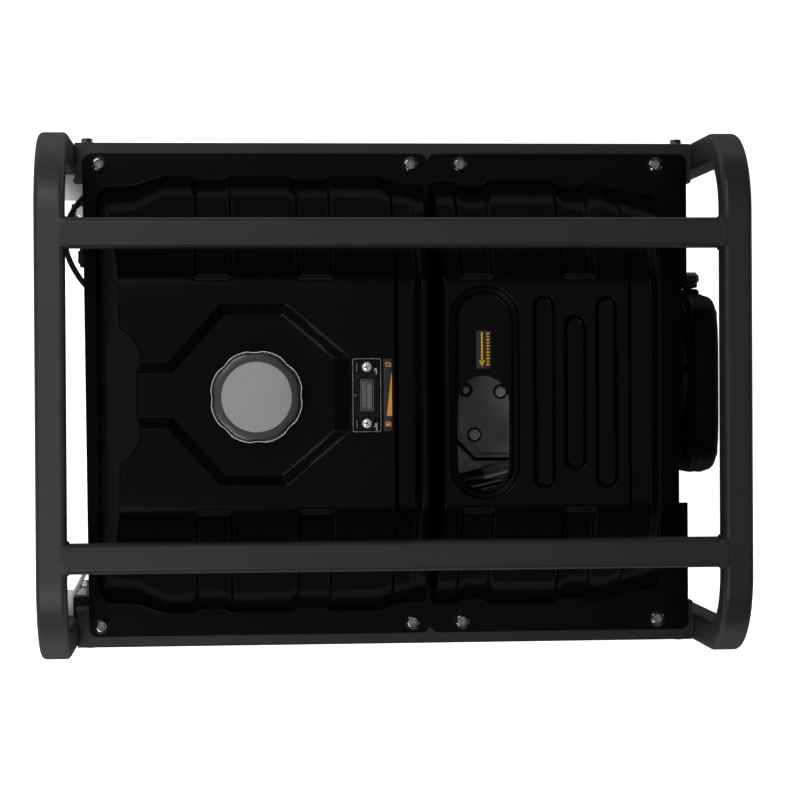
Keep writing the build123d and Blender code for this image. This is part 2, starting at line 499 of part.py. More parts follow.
ec += bx(-226, -220, CRANK_Y - 90, CRANK_Y + 90, CRANK_Z - 10, CRANK_Z + 10) - cx(-230, -210, CRANK_Y, CRANK_Z, 26)
ec -= cx(-263, -205, CRANK_Y, CRANK_Z, 12.55)
for i in range(7):
    ec -= Pos(-275, CRANK_Y, CRANK_Z + 36) * Pos(0, -54 + 18 * i, 0) * Box(12, 8, 44)
put("alternator_end_cover", ec)
rt = cx(-198, -44, CRANK_Y, CRANK_Z, 60.0) - cx(-199, -43, CRANK_Y, CRANK_Z, 12.5)
for i in range(4):
    rt -= Pos(-121, CRANK_Y, CRANK_Z) * Rot(90 * i, 0, 0) * Pos(0, 0, 60) * Box(160, 22, 26)
put("rotor", rt)

# ---- control panel on the front long side -------------------------------
PX0, PX1, PY0, PY1, PZ0, PZ1 = -290.0, 0.0, -232.0, -150.0, 300.0, 424.0
box = rbox(PX0, PX1, PY0, PY1, PZ0, PZ1, 6.0, Axis.Y) - bx(PX0 + 2, PX1 - 2, PY0 + 2, PY1 - 2, PZ0 + 2, PZ1 - 2)
SOCK = ((-235.0, 352.0), (-160.0, 352.0))
SOCK_R = 27.0
for x, z in SOCK:
    box -= cy(PY0 - 1, PY0 + 3, x, z, SOCK_R - 2.0)
BRK_X, BRK_Z = -92.0, 352.0
box -= bx(BRK_X - 18, BRK_X + 18, PY0 - 1, PY0 + 3, BRK_Z - 23, BRK_Z + 23)
ER_X, ER_Z = -36.0, 322.0
# straps that hang the box from the side rail
box += bx(-280, -262, -232, -228, PZ1 - 1, RAIL_TOP - RAIL_H) + bx(-30, -12, -232, -228, PZ1 - 1, RAIL_TOP - RAIL_H)
put("control_box", box)
socks, flaps = [], []
for x, z in SOCK:
    s = cy(PY0 - 3, PY0, x, z, SOCK_R) + cy(PY0, PY0 + 24, x, z, SOCK_R - 2.1)
    s -= cy(PY0 - 4, PY0 + 19, x, z, 20.0)
    s += bx(x - 14, x - 9, PY0 - 9, PY0 - 3, z + 23, z + 31) + bx(x + 9, x + 14, PY0 - 9, PY0 - 3, z + 23, z + 31)
    s += bx(x - 14, x + 14, PY0 - 3, PY0, z + 15, z + 31) - cy(PY0 - 4, PY0 + 1, x, z, 20.0)
    s -= cx(x - 15, x + 15, PY0 - 6, z + 27, 1.55)
    socks.append(s)
put("sockets", *socks)
for n, (x, z) in enumerate(SOCK):
    f = cy(PY0 - 8, PY0 - 3.4, x, z, 24.0)
    f -= bx(x - 30, x + 30, PY0 - 12, PY0, z + 21, z + 40)
    f += cx(x - 8.6, x + 8.6, PY0 - 6, z + 27, 2.8) & bx(x - 9, x + 9, PY0 - 12, PY0 - 3.4, z + 20, z + 40)
    f += bx(x - 8.6, x + 8.6, PY0 - 8, PY0 - 5, z + 15, z + 27)
    f += cx(x - 13.9, x + 13.9, PY0 - 6, z + 27, 1.5)
    put("socket_flap_" + "ab"[n], f)
bk = bx(BRK_X - 20, BRK_X + 20, PY0 - 4, PY0, BRK_Z - 25, BRK_Z + 25) + bx(BRK_X - 17.7, BRK_X + 17.7, PY0, PY0 + 45, BRK_Z - 22.7, BRK_Z + 22.7)
bk -= bx(BRK_X - 10, BRK_X + 10, PY0 - 5, PY0 + 14, BRK_Z - 13, BRK_Z + 13)
bk -= cx(BRK_X - 13, BRK_X + 13, PY0 + 4, BRK_Z, 2.05)
put("breaker_body", bk)
bl = cx(BRK_X - 9.7, BRK_X + 9.7, PY0 + 4, BRK_Z, 7.5) + cx(BRK_X - 12.9, BRK_X + 12.9, PY0 + 4, BRK_Z, 2.0)
bl += bx(BRK_X - 8, BRK_X + 8, PY0 - 9, PY0 + 4, BRK_Z - 2.5, BRK_Z + 2.5)
put("breaker_lever", bl)
er = cy(PY0 - 14, PY0, ER_X, ER_Z, 3.0) + cy(PY0 - 3, PY0, ER_X, ER_Z, 7.0)
put("earth_stud", er)

# cable from the alternator to the control box
path = FilletPolyline((-250, CRANK_Y - 92.3, CRANK_Z), (-250, -115, CRANK_Z), (-250, -115, 360), (-250, -149.7, 360), radius=14)
cab = sweep(Plane(origin=path @ 0, z_dir=path % 0) * Circle(5.0), path=path)
# second lead: it loops out past the tank's end and returns to the rear rail, with a clip and a clamp plate on the tank's end wall
path = FilletPolyline((-276.2, CRANK_Y + 68, CRANK_Z + 35), (-296, CRANK_Y + 68, CRANK_Z + 35), (-296, 108, 310), (-296, 108, 440), (-323, 163, 440), (-296, 207, 440), (-296, 236, 445), (-296, 236, 466.8), radius=9)
loop = sweep(Plane(origin=path @ 0, z_dir=path % 0) * Circle(3.0), path=path)
loop += rbox(-310, -284.3, 133, 147, 431, 449, 1.5, Axis.X)
loop += bx(-317, -284.3, 176, 195, 434, 438.5) + cz(438, 441, -307, 187, 5.0)
put("alternator_cable", Compound([*cab.solids(), *loop.solids()]))

print(len(made), "nodes")
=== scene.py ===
import bpy, bmesh, math
import numpy as np
from mathutils import Vector, Matrix


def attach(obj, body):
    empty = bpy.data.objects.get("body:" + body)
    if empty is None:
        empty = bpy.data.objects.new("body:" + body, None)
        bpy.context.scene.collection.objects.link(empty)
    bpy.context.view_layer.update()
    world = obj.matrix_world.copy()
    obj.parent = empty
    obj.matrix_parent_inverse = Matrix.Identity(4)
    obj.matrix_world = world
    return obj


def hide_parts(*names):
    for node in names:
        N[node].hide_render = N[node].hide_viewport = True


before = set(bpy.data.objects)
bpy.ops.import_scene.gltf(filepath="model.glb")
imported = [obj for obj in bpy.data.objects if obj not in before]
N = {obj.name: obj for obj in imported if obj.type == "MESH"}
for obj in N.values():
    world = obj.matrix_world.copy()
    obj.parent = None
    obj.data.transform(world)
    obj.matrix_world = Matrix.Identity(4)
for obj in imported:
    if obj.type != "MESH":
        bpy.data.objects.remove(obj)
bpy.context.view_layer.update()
rng = np.random.default_rng(7)

XS = -18.5          # shift between hoop-centred and row X, mm


def W(x, y, z):
    return ((x + XS) / 1000.0, y / 1000.0, z / 1000.0)


# ------------------------------------------------------------------ materials
def new_mat(name):
    m = bpy.data.materials.new(name)
    m.use_nodes = True
    nt = m.node_tree
    b = nt.nodes["Principled BSDF"]
    return m, nt, b


def tex_coord(nt):
    return nt.nodes.new("ShaderNodeTexCoord").outputs["Object"]


def noise(nt, vec, scale, detail=4.0, rough=0.55, dist=0.0):
    n = nt.nodes.new("ShaderNodeTexNoise")
    n.inputs["Scale"].default_value = scale
    n.inputs["Detail"].default_value = detail
    n.inputs["Roughness"].default_value = rough
    n.inputs["Distortion"].default_value = dist
    nt.links.new(vec, n.inputs["Vector"])
    return n.outputs["Fac"]


def ramp(nt, fac, stops):
    r = nt.nodes.new("ShaderNodeValToRGB")
    el = r.color_ramp.elements
    el[0].position, el[0].color = stops[0][0], (*stops[0][1], 1)
    el[1].position, el[1].color = stops[1][0], (*stops[1][1], 1)
    for p, c in stops[2:]:
        e = el.new(p)
        e.color = (*c, 1)
    nt.links.new(fac, r.inputs["Fac"])
    return r.outputs["Color"]


def maprange(nt, fac, a, b, lo, hi):
    m = nt.nodes.new("ShaderNodeMapRange")
    m.inputs["From Min"].default_value = a
    m.inputs["From Max"].default_value = b
    m.inputs["To Min"].default_value = lo
    m.inputs["To Max"].default_value = hi
    nt.links.new(fac, m.inputs["Value"])
    return m.outputs["Result"]


def bump(nt, b, height, strength, dist, prev=None):
    n = nt.nodes.new("ShaderNodeBump")
    n.inputs["Strength"].default_value = strength
    n.inputs["Distance"].default_value = dist
    nt.links.new(height, n.inputs["Height"])
    if prev is not None:
        nt.links.new(prev, n.inputs["Normal"])
    nt.links.new(n.outputs["Normal"], b.inputs["Normal"])
    return n.outputs["Normal"]


def sc(c, k):
    return tuple(min(1.0, v * k) for v in c)


def surface(name, col, rough=0.5, metal=0.0, spec=0.5, var=0.12, var_scale=9.0, grain=700.0, grain_h=0.00008,
            grain_s=0.35, rvar=0.08, wear=None, coat=0.0, coat_rough=0.2, aniso=0.0):
    """Base material: large soft colour drift, fine grain bump, roughness drift and optional edge wear."""
    m, nt, b = new_mat(name)
    v = tex_coord(nt)
    big = noise(nt, v, var_scale, 5.0, 0.6)
    colr = ramp(nt, big, [(0.3, sc(col, 1 - var)), (0.7, sc(col, 1 + var))])
    if wear:
        geo = nt.nodes.new("ShaderNodeNewGeometry")
        spots = noise(nt, v, 160.0, 6.0, 0.7)
        edge = maprange(nt, geo.outputs["Pointiness"], wear[1], wear[1] + 0.06, 0.0, 1.0)
        mul = nt.nodes.new("ShaderNodeMath")
        mul.operation = "MULTIPLY"
        nt.links.new(edge, mul.inputs[0])
        nt.links.new(maprange(nt, spots, 0.5, 0.62, 0.0, 1.0), mul.inputs[1])
        mix = nt.nodes.new("ShaderNodeMix")
        mix.data_type = "RGBA"
        nt.links.new(mul.outputs[0], mix.inputs["Factor"])
        nt.links.new(colr, mix.inputs["A"])
        mix.inputs["B"].default_value = (*wear[0], 1)
        colr = mix.outputs["Result"]
    nt.links.new(colr, b.inputs["Base Color"])
    b.inputs["Metallic"].default_value = metal
    b.inputs["Specular IOR Level"].default_value = spec
    if coat:
        b.inputs["Coat Weight"].default_value = coat
        b.inputs["Coat Roughness"].default_value = coat_rough
    mid = noise(nt, v, 60.0, 4.0, 0.6)
    nt.links.new(maprange(nt, mid, 0.3, 0.7, rough - rvar, rough + rvar), b.inputs["Roughness"])
    if aniso:
        b.inputs["Anisotropic"].default_value = aniso
    if grain:
        bump(nt, b, noise(nt, v, grain, 3.0, 0.6), grain_s, grain_h)
    return m


def soft_gloss(m, amount, rough, tint=1.0):
    """Lays a small, even reflection over a material, for powder coats with no bright grazing rim."""
    nt = m.node_tree
    b = nt.nodes["Principled BSDF"]
    b.inputs["Specular IOR Level"].default_value = 0.0
    g = nt.nodes.new("ShaderNodeBsdfAnisotropic")
    g.inputs["Color"].default_value = (tint, tint, tint, 1)
    v = tex_coord(nt)
    nt.links.new(maprange(nt, noise(nt, v, 45.0, 4.0, 0.6), 0.3, 0.7, rough - 0.03, rough + 0.03), g.inputs["Roughness"])
    src = b.inputs["Normal"].links
    if src:
        nt.links.new(src[0].from_socket, g.inputs["Normal"])
    mix = nt.nodes.new("ShaderNodeMixShader")
    mix.inputs["Fac"].default_value = amount
    out = next(n for n in nt.nodes if n.type == "OUTPUT_MATERIAL")
    nt.links.new(b.outputs[0], mix.inputs[1])
    nt.links.new(g.outputs[0], mix.inputs[2])
    nt.links.new(mix.outputs[0], out.inputs["Surface"])


M = {}
M["frame"] = surface("frame_powder", (0.0188, 0.0188, 0.0192), 0.46, spec=0.45, var=0.05, var_scale=14, grain=1500, grain_h=0.0001, grain_s=0.5, rvar=0.03)
# Left hoop: a lighter copy of the frame powder coat, painted light for the stronger light the left end catches from the
# key lamps.
M["hoop"] = surface("left_hoop_painted_light", (0.032, 0.032, 0.0325), 0.46, spec=0.45, var=0.05, var_scale=14, grain=1500, grain_h=0.0001, grain_s=0.5, rvar=0.03)
M["tank"] = surface("tank_powder", (0.0018, 0.0018, 0.0019), 0.34, spec=0.3, var=0.06, grain=1500, grain_h=0.00004, grain_s=0.3, rvar=0.03)
M["zinc"] = surface("zinc_plate", (0.18, 0.18, 0.178), 0.18, metal=1.0, var=0.12, var_scale=160, grain=1500, grain_h=0.00004)
M["rubber"] = surface("rubber_black", (0.005, 0.005, 0.005), 0.75, spec=0.15, var=0.2, grain=1600, grain_h=0.0001)
M["mesh"] = surface("strainer_wire", (0.5, 0.5, 0.47), 0.4, metal=1.0, grain=1800, grain_h=0.0003, grain_s=0.8)
M["capm"] = surface("cap_dark_metal", (0.0135, 0.0135, 0.014), 0.36, metal=0.0, spec=0.5, var=0.12, grain=1400, grain_h=0.00004, coat=0.12, coat_rough=0.25)
M["gloss"] = surface("gauge_gloss_black", (0.004, 0.004, 0.004), 0.12, spec=0.6, var=0.05, grain=900, grain_h=0.00002, rvar=0.03)
M["alloy"] = surface("alloy_cast", (0.3, 0.3, 0.295), 0.55, metal=0.25, var=0.14, var_scale=30, grain=520, grain_h=0.00035, grain_s=0.8)
M["diecast"] = surface("alloy_diecast", (0.42, 0.42, 0.41), 0.42, metal=0.9, var=0.1, var_scale=40, grain=1300, grain_h=0.00008)
M["iron"] = surface("iron_stove_black", (0.02, 0.02, 0.02), 0.6, spec=0.4, var=0.25, var_scale=40, grain=500, grain_h=0.0003, grain_s=0.7)
M["engine"] = surface("engine_satin", (0.0028, 0.0028, 0.003), 0.45, spec=0.3, var=0.12, grain=1100, grain_h=0.00008)
M["steel"] = surface("steel_machined", (0.42, 0.42, 0.42), 0.35, metal=1.0, var=0.1, var_scale=60, grain=1200, grain_h=0.00006, aniso=0.3)
M["irongrey"] = surface("iron_grey", (0.2, 0.2, 0.2), 0.55, metal=0.8, var=0.2, var_scale=50, grain=600, grain_h=0.0003)
M["plastic"] = surface("plastic_black", (0.011, 0.011, 0.011), 0.5, spec=0.4, var=0.1, grain=1500, grain_h=0.0001)
M["panel"] = surface("panel_powder", (0.03, 0.03, 0.032), 0.5, spec=0.45, var=0.08, grain=1000, grain_h=0.0001)
M["blue"] = surface("socket_blue", (0.012, 0.05, 0.24), 0.42, spec=0.45, var=0.08, grain=1400, grain_h=0.00008)
M["red"] = surface("plastic_red", (0.42, 0.03, 0.02), 0.42, spec=0.45, var=0.08, grain=1400, grain_h=0.00008)
M["disc"] = surface("cap_disc_grey", (0.33, 0.33, 0.33), 0.6, spec=0.3, var=0.05, var_scale=30, grain=1500, grain_h=0.00005, grain_s=0.3)
# Near white for the fuel cap's rim line: painted highlight.
M["bright"] = surface("cap_rim_painted_highlight", (0.85, 0.85, 0.85), 0.35, metal=0.15, var=0.1, var_scale=60, grain=900, grain_h=0.00003)
M["orange"] = surface("mark_orange", (0.72, 0.27, 0.03), 0.5, spec=0.3, var=0.06, grain=1500, grain_h=0.00003)
# Dark print colour; the same material also paints shade into screw recesses and round the rocker bolts.
M["label"] = surface("dark_print_and_painted_shade", (0.012, 0.012, 0.012), 0.5, spec=0.3, var=0.08, grain=1500, grain_h=0.00003)
M["yellow"] = surface("mark_yellow", (0.75, 0.4, 0.01), 0.45, spec=0.3, var=0.05, grain=1500, grain_h=0.00003)
M["white"] = surface("indicator_white", (0.2, 0.2, 0.195), 0.55, spec=0.3, var=0.05, grain=1200, grain_h=0.00004)
M["brass"] = surface("brass_yellow", (0.6, 0.42, 0.16), 0.3, metal=1.0, var=0.12, var_scale=60, grain=1200, grain_h=0.00005)
M["weld"] = surface("weld_bead", (0.0188, 0.0188, 0.0192), 0.45, spec=0.5, var=0.12, grain=500, grain_h=0.0003, grain_s=0.6)
M["rockerm"] = surface("rocker_cast_dark", (0.4, 0.4, 0.4), 0.55, metal=0.0, spec=0.5, var=0.15, var_scale=50, grain=900, grain_h=0.0002, grain_s=0.6)


soft_gloss(M["tank"], 0.0042, 0.28)
soft_gloss(M["engine"], 0.005, 0.42)
soft_gloss(M["gloss"], 0.014, 0.09)
soft_gloss(M["frame"], 0.02, 0.42)
# The left hoop's slightly stronger gloss is part of the same painted light.
soft_gloss(M["hoop"], 0.022, 0.42)
soft_gloss(M["weld"], 0.02, 0.42)


M["window"] = surface("window_grey", (0.14, 0.14, 0.14), 0.5, spec=0.3, var=0.1, var_scale=60, grain=1200, grain_h=0.00004)
M["headcast"] = surface("head_casting", (0.5, 0.5, 0.49), 0.6, metal=0.15, var=0.3, var_scale=120, grain=420, grain_h=0.0005, grain_s=0.9)
M["silver"] = surface("bolt_silver", (0.8, 0.8, 0.79), 0.3, metal=0.35, var=0.1, var_scale=160, grain=1500, grain_h=0.00004)
M["boltgrey"] = surface("bolt_head_grey", (0.62, 0.62, 0.61), 0.4, metal=0.15, var=0.1, var_scale=160, grain=1500, grain_h=0.00004)
M["sleeve"] = surface("sleeve_grey", (0.08, 0.08, 0.08), 0.5, spec=0.4, var=0.12, var_scale=60, grain=1500, grain_h=0.0001)
# Light grey for the gauge frame's edge lines: painted highlight.
M["edgeline"] = surface("gauge_edge_painted_highlight", (0.34, 0.34, 0.34), 0.35, metal=0.2, var=0.3, var_scale=60, grain=900, grain_h=0.00003)
M["galv"] = surface("galvanised_sheet", (0.62, 0.62, 0.61), 0.45, metal=0.3, var=0.12, var_scale=40, grain=400, grain_h=0.00008)


def glass_mat():
    m, nt, b = new_mat("gauge_glass")
    v = tex_coord(nt)
    nt.links.new(maprange(nt, noise(nt, v, 120.0), 0.3, 0.7, 0.04, 0.12), b.inputs["Roughness"])
    b.inputs["Base Color"].default_value = (0.1, 0.105, 0.105, 1)
    b.inputs["Alpha"].default_value = 0.3
    b.inputs["Specular IOR Level"].default_value = 0.5
    bump(nt, b, noise(nt, v, 500.0), 0.1, 0.00003)
    return m


M["glass"] = glass_mat()


def stripes_mat(name, col_a, col_b, axis, freq, rough, metal):
    """Laminated or wound look: fine stripes along one axis over a grained base."""
    m, nt, b = new_mat(name)
    v = tex_coord(nt)
    sep = nt.nodes.new("ShaderNodeSeparateXYZ")
    nt.links.new(v, sep.inputs[0])
    w = nt.nodes.new("ShaderNodeMath")
    w.operation = "MULTIPLY"
    nt.links.new(sep.outputs[axis], w.inputs[0])
    w.inputs[1].default_value = freq
    s = nt.nodes.new("ShaderNodeMath")
    s.operation = "SINE"
    nt.links.new(w.outputs[0], s.inputs[0])
    f = maprange(nt, s.outputs[0], -1, 1, 0, 1)
    nt.links.new(ramp(nt, f, [(0.2, col_a), (0.8, col_b)]), b.inputs["Base Color"])
    nt.links.new(maprange(nt, noise(nt, v, 80.0), 0.3, 0.7, rough - 0.08, rough + 0.08), b.inputs["Roughness"])
    b.inputs["Metallic"].default_value = metal
    bump(nt, b, f, 0.5, 0.0003)
    return m


M["stator"] = stripes_mat("stator_laminations", (0.010, 0.010, 0.011), (0.02, 0.02, 0.021), "X", 4200.0, 0.5, 0.2)

CAD_MATS = {
    # end_hoop_left takes the lighter painted-light copy of the frame paint.
    "hoop": ["end_hoop_left"], "frame": ["end_hoop_right", "top_bar_front", "top_bar_rear", "side_rail_front", "side_rail_rear", "base_rail_front", "base_rail_rear", "cross_members"],
    "tank": ["tank_upper_shell", "tank_lower_shell", "top_cover"],
    "zinc": ["rail_bolts", "panel_bolts", "rocker_cover_bolts", "filler_neck", "gauge_screws", "injector_pipe"],
    "brass": ["earth_stud"],
    "rubber": ["rubber_feet", "isolators", "cap_seal", "fuel_hose", "breather_hose", "alternator_cable"],
    "mesh": ["strainer"], "capm": ["fuel_cap"], "gloss": ["gauge_body"], "glass": ["gauge_lens"], "white": ["gauge_indicator"],
    "diecast": ["fuel_tap", "injector", "decompression_lever"], "red": ["fuel_tap_lever"],
    "headcast": ["cylinder_head"], "alloy": ["crankcase", "adapter_flange", "injection_pump", "alternator_end_cover"],
    "iron": ["cylinder"], "engine": ["blower_housing", "recoil_cover", "muffler", "air_cleaner"],
    "rockerm": ["rocker_cover"],
    "steel": ["crankshaft", "speed_lever"], "irongrey": ["flywheel_fan", "rotor"], "stator": ["stator"],
    "plastic": ["recoil_pulley", "recoil_handle", "dipstick", "breaker_body", "sockets", "float_arm"],
    "white2": [], "panel": ["control_box"], "blue": ["socket_flap_a", "socket_flap_b"],
}
for key, names in CAD_MATS.items():
    for n in names:
        o = N[n]
        o.data.materials.clear()
        o.data.materials.append(M[key])
N["breaker_lever"].data.materials.clear()
N["breaker_lever"].data.materials.append(M["red"])
for n, o in N.items():
    o.data.set_sharp_from_angle(angle=math.radians(32))
    for p in o.data.polygons:
        p.use_smooth = True


# ------------------------------------------------------------------ mesh helpers
def make(name, verts, faces, mat, body="chassis", replaces=(), slot=None, smooth=True, angle=35):
    me = bpy.data.meshes.new(name)
    me.from_pydata([tuple(v) for v in verts], [], [tuple(f) for f in faces])
    me.validate()
    me.update()
    o = bpy.data.objects.new(name, me)
    bpy.context.scene.collection.objects.link(o)
    mats = mat if isinstance(mat, (list, tuple)) else [mat]
    for m in mats:
        me.materials.append(m)
    if smooth:
        me.polygons.foreach_set("use_smooth", [True] * len(me.polygons))
        me.set_sharp_from_angle(angle=math.radians(angle))
    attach(o, body)
    if replaces:
        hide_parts(*replaces)
    return o


class Mesh:
    """Collects several closed forms into one mesh."""

    def __init__(self):
        self.v, self.f, self.m = [], [], []

    def add(self, verts, faces, mi=0):
        k = len(self.v)
        self.v += [tuple(p) for p in verts]
        self.f += [tuple(i + k for i in f) for f in faces]
        self.m += [mi] * len(faces)

    def out(self, name, mats, **kw):
        o = make(name, self.v, self.f, mats, **kw)
        o.data.polygons.foreach_set("material_index", self.m[:len(o.data.polygons)])
        return o


def lathe(profile, n, centre, axis="z", radial=None):
    """Closed surface of revolution. profile is (r, h) from the axis back to the axis, r >= 0. radial(angle) scales r."""
    vs, fs, rings = [], [], []
    for r, h in profile:
        if r < 1e-6:
            rings.append([len(vs)])
            vs.append((0, 0, h))
        else:
            ring = []
            for i in range(n):
                a = 2 * math.pi * i / n
                k = radial(a, r, h) if radial else r
                ring.append(len(vs))
                vs.append((k * math.cos(a), k * math.sin(a), h))
            rings.append(ring)
    for a, b in zip(rings, rings[1:]):
        for i in range(n):
            j = (i + 1) % n
            if len(a) == 1 and len(b) == 1:
                continue
            if len(a) == 1:
                fs.append((a[0], b[i], b[j]))
            elif len(b) == 1:
                fs.append((a[i], b[0], a[j]))
            else:
                fs.append((a[i], b[i], b[j], a[j]))
    cx, cy, cz = centre
    if axis == "z":
        vs = [(x + cx, y + cy, z + cz) for x, y, z in vs]
    elif axis == "x":
        vs = [(z + cx, x + cy, y + cz) for x, y, z in vs]
    elif axis == "-x":
        vs = [(-z + cx, -x + cy, y + cz) for x, y, z in vs]
    elif axis == "y":
        vs = [(y + cx, z + cy, x + cz) for x, y, z in vs]
    elif axis == "-y":
        vs = [(x + cx, -z + cy, y + cz) for x, y, z in vs]
    return [W(*p) for p in vs], fs


def hexring(af, n=48, soft=0.0):
    """Radius of a hexagon at each angle."""
    def f(a, r, h):
        t = (a + math.pi / 6) % (math.pi / 3) - math.pi / 6
        flat = (af / 2) / math.cos(t)
        return min(r, flat)
    return f


def flange_bolt(mesh, x, y, z, af=10.0, washer=7.1, spin=0.0, axis="z", height=6.0):
    """Hex flange bolt: domed flange, bevelled hex head with a shallow dish and a small raised ring."""
    prof = [(0, 0), (washer, 0), (washer, 0.9), (washer - 0.5, 1.35), (washer - 1.3, 1.6), (af * 0.577, 1.9)]
    vs, fs = lathe(prof + [(af * 0.577, height - 0.7), (af * 0.52, height - 0.15), (af * 0.46, height), (af * 0.36, height), (af * 0.3, height - 0.5), (0, height - 0.6)],
                   48, (x, y, z), axis,
                   radial=lambda a, r, h: (hexring(af)(a + spin, r, h) if 1.7 < h < height - 0.1 and r > af * 0.4 else r))
    mesh.add(vs, fs)


def tube_path(points, r, n=14, closed=False):
    """A round bar along points (mm)."""
    P = np.array(points, float)
    k = len(P)
    vs, fs = [], []
    prev = None
    for i in range(k):
        t = P[min(i + 1, k - 1)] - P[max(i - 1, 0)]
        t /= np.linalg.norm(t)
        if prev is None:
            u = np.cross(t, (0, 0, 1))
            if np.linalg.norm(u) < 1e-3:
                u = np.cross(t, (0, 1, 0))
        else:
            u = prev - t * np.dot(prev, t)
        u /= np.linalg.norm(u)
        prev = u
        w = np.cross(t, u)
        rr = r[i] if isinstance(r, (list, tuple, np.ndarray)) else r
        for j in range(n):
            a = 2 * math.pi * j / n
            vs.append(tuple(P[i] + rr * (math.cos(a) * u + math.sin(a) * w)))
    for i in range(k - 1):
        for j in range(n):
            jj = (j + 1) % n
            fs.append((i * n + j, i * n + jj, (i + 1) * n + jj, (i + 1) * n + j))
    fs.append(tuple(reversed(range(n))))
    fs.append(tuple((k - 1) * n + j for j in range(n)))
    return [W(*p) for p in vs], fs


def smooth_pts(pts, n=12):
    """Catmull-Rom points through a few given ones."""
    P = [np.array(p, float) for p in pts]
    P = [2 * P[0] - P[1]] + P + [2 * P[-1] - P[-2]]
    out = []
    for i in range(1, len(P) - 2):
        for s in range(n):
            t = s / n
            a, b, c, d = P[i - 1], P[i], P[i + 1], P[i + 2]
            out.append(0.5 * ((2 * b) + (-a + c) * t + (2 * a - 5 * b + 4 * c - d) * t * t + (-a + 3 * b - 3 * c + d) * t ** 3))
    out.append(P[-2])
    return out


def rbox(x0, x1, y0, y1, z0, z1, bev=1.0, seg=3):
    """Bevelled box as verts, faces in mm coordinates mapped to the frame."""
    bm = bmesh.new()
    bmesh.ops.create_cube(bm, size=1.0)
    for v in bm.verts:
        v.co = ((x0 + x1) / 2 + v.co.x * (x1 - x0), (y0 + y1) / 2 + v.co.y * (y1 - y0), (z0 + z1) / 2 + v.co.z * (z1 - z0))
    if bev > 0:
        bmesh.ops.bevel(bm, geom=bm.edges[:], offset=bev, segments=seg, profile=0.5, affect="EDGES")
    bm.verts.index_update()
    vs = [W(*v.co) for v in bm.verts]
    fs = [[v.index for v in f.verts] for f in bm.faces]
    bm.free()
    return vs, fs


# ------------------------------------------------------------------ pressed sheet surfaces
def rmin(a, b, k):
    """Smaller of a and b, with a circular blend of radius k where both are close."""
    m = np.minimum(a, b)
    d = np.clip((k - np.abs(a - b)) / k, 0, None)
    return m - d * d * k / 4


def rmax(a, b, k):
    return -rmin(-a, -b, k)


def corner_min(a, b, k):
    u, v = np.clip(k - a, 0, None), np.clip(k - b, 0, None)
    r = k - np.sqrt(u * u + v * v)
    return np.where((a < k) & (b < k), r, np.minimum(a, b))


def ss(t):
    t = np.clip(t, 0, 1)
    return t * t * (3 - 2 * t)


def edge_lines(lo, hi, marks, coarse, fine, reach):
    """Grid lines between lo and hi, fine near each mark."""
    x, out = lo, [lo]
    marks = sorted(marks)
    while x < hi - 1e-6:
        d = min((abs(x - m) for m in marks), default=1e9)
        t = min(1.0, max(0.0, (d - reach) / (reach * 1.5)))
        x = x + fine + (coarse - fine) * t
        out.append(min(x, hi))
    out[-1] = hi
    if out[-1] - out[-2] < fine * 0.4:
        out.pop(-2)
    return np.array(out)


FL = 493.5
ZT = 600.0


def yfoot_tank(x):
    xs = [-290, -284, -278, -269, -250, -222, -195, -190, -163, -157, -99, -93, -64, -58, -8, 6, 20, 40]
    ys = [206, 206, 207, 207.5, 208.5, 218, 218, 214, 214, 218, 218, 214, 214, 217.5, 217, 211, 209, 209]
    return np.interp(x, xs, ys)


def smooth_table(fn, xs, w):
    """Box-smoothed version of a piecewise-linear line, so that the pressed contour has soft bends."""
    g = np.linspace(xs.min() - 10, xs.max() + 10, 1200)
    v = fn(g)
    k = max(1, int(w / (g[1] - g[0])))
    ker = np.ones(k) / k
    v = np.convolve(np.pad(v, k, mode="edge"), ker, mode="same")[k:-k]
    return np.interp(xs, g, v)


def window(x, a, b, w):
    """1 between a and b, falling to 0 over w outside each."""
    return ss((x - (a - w)) / w) * ss(((b + w) - x) / w)


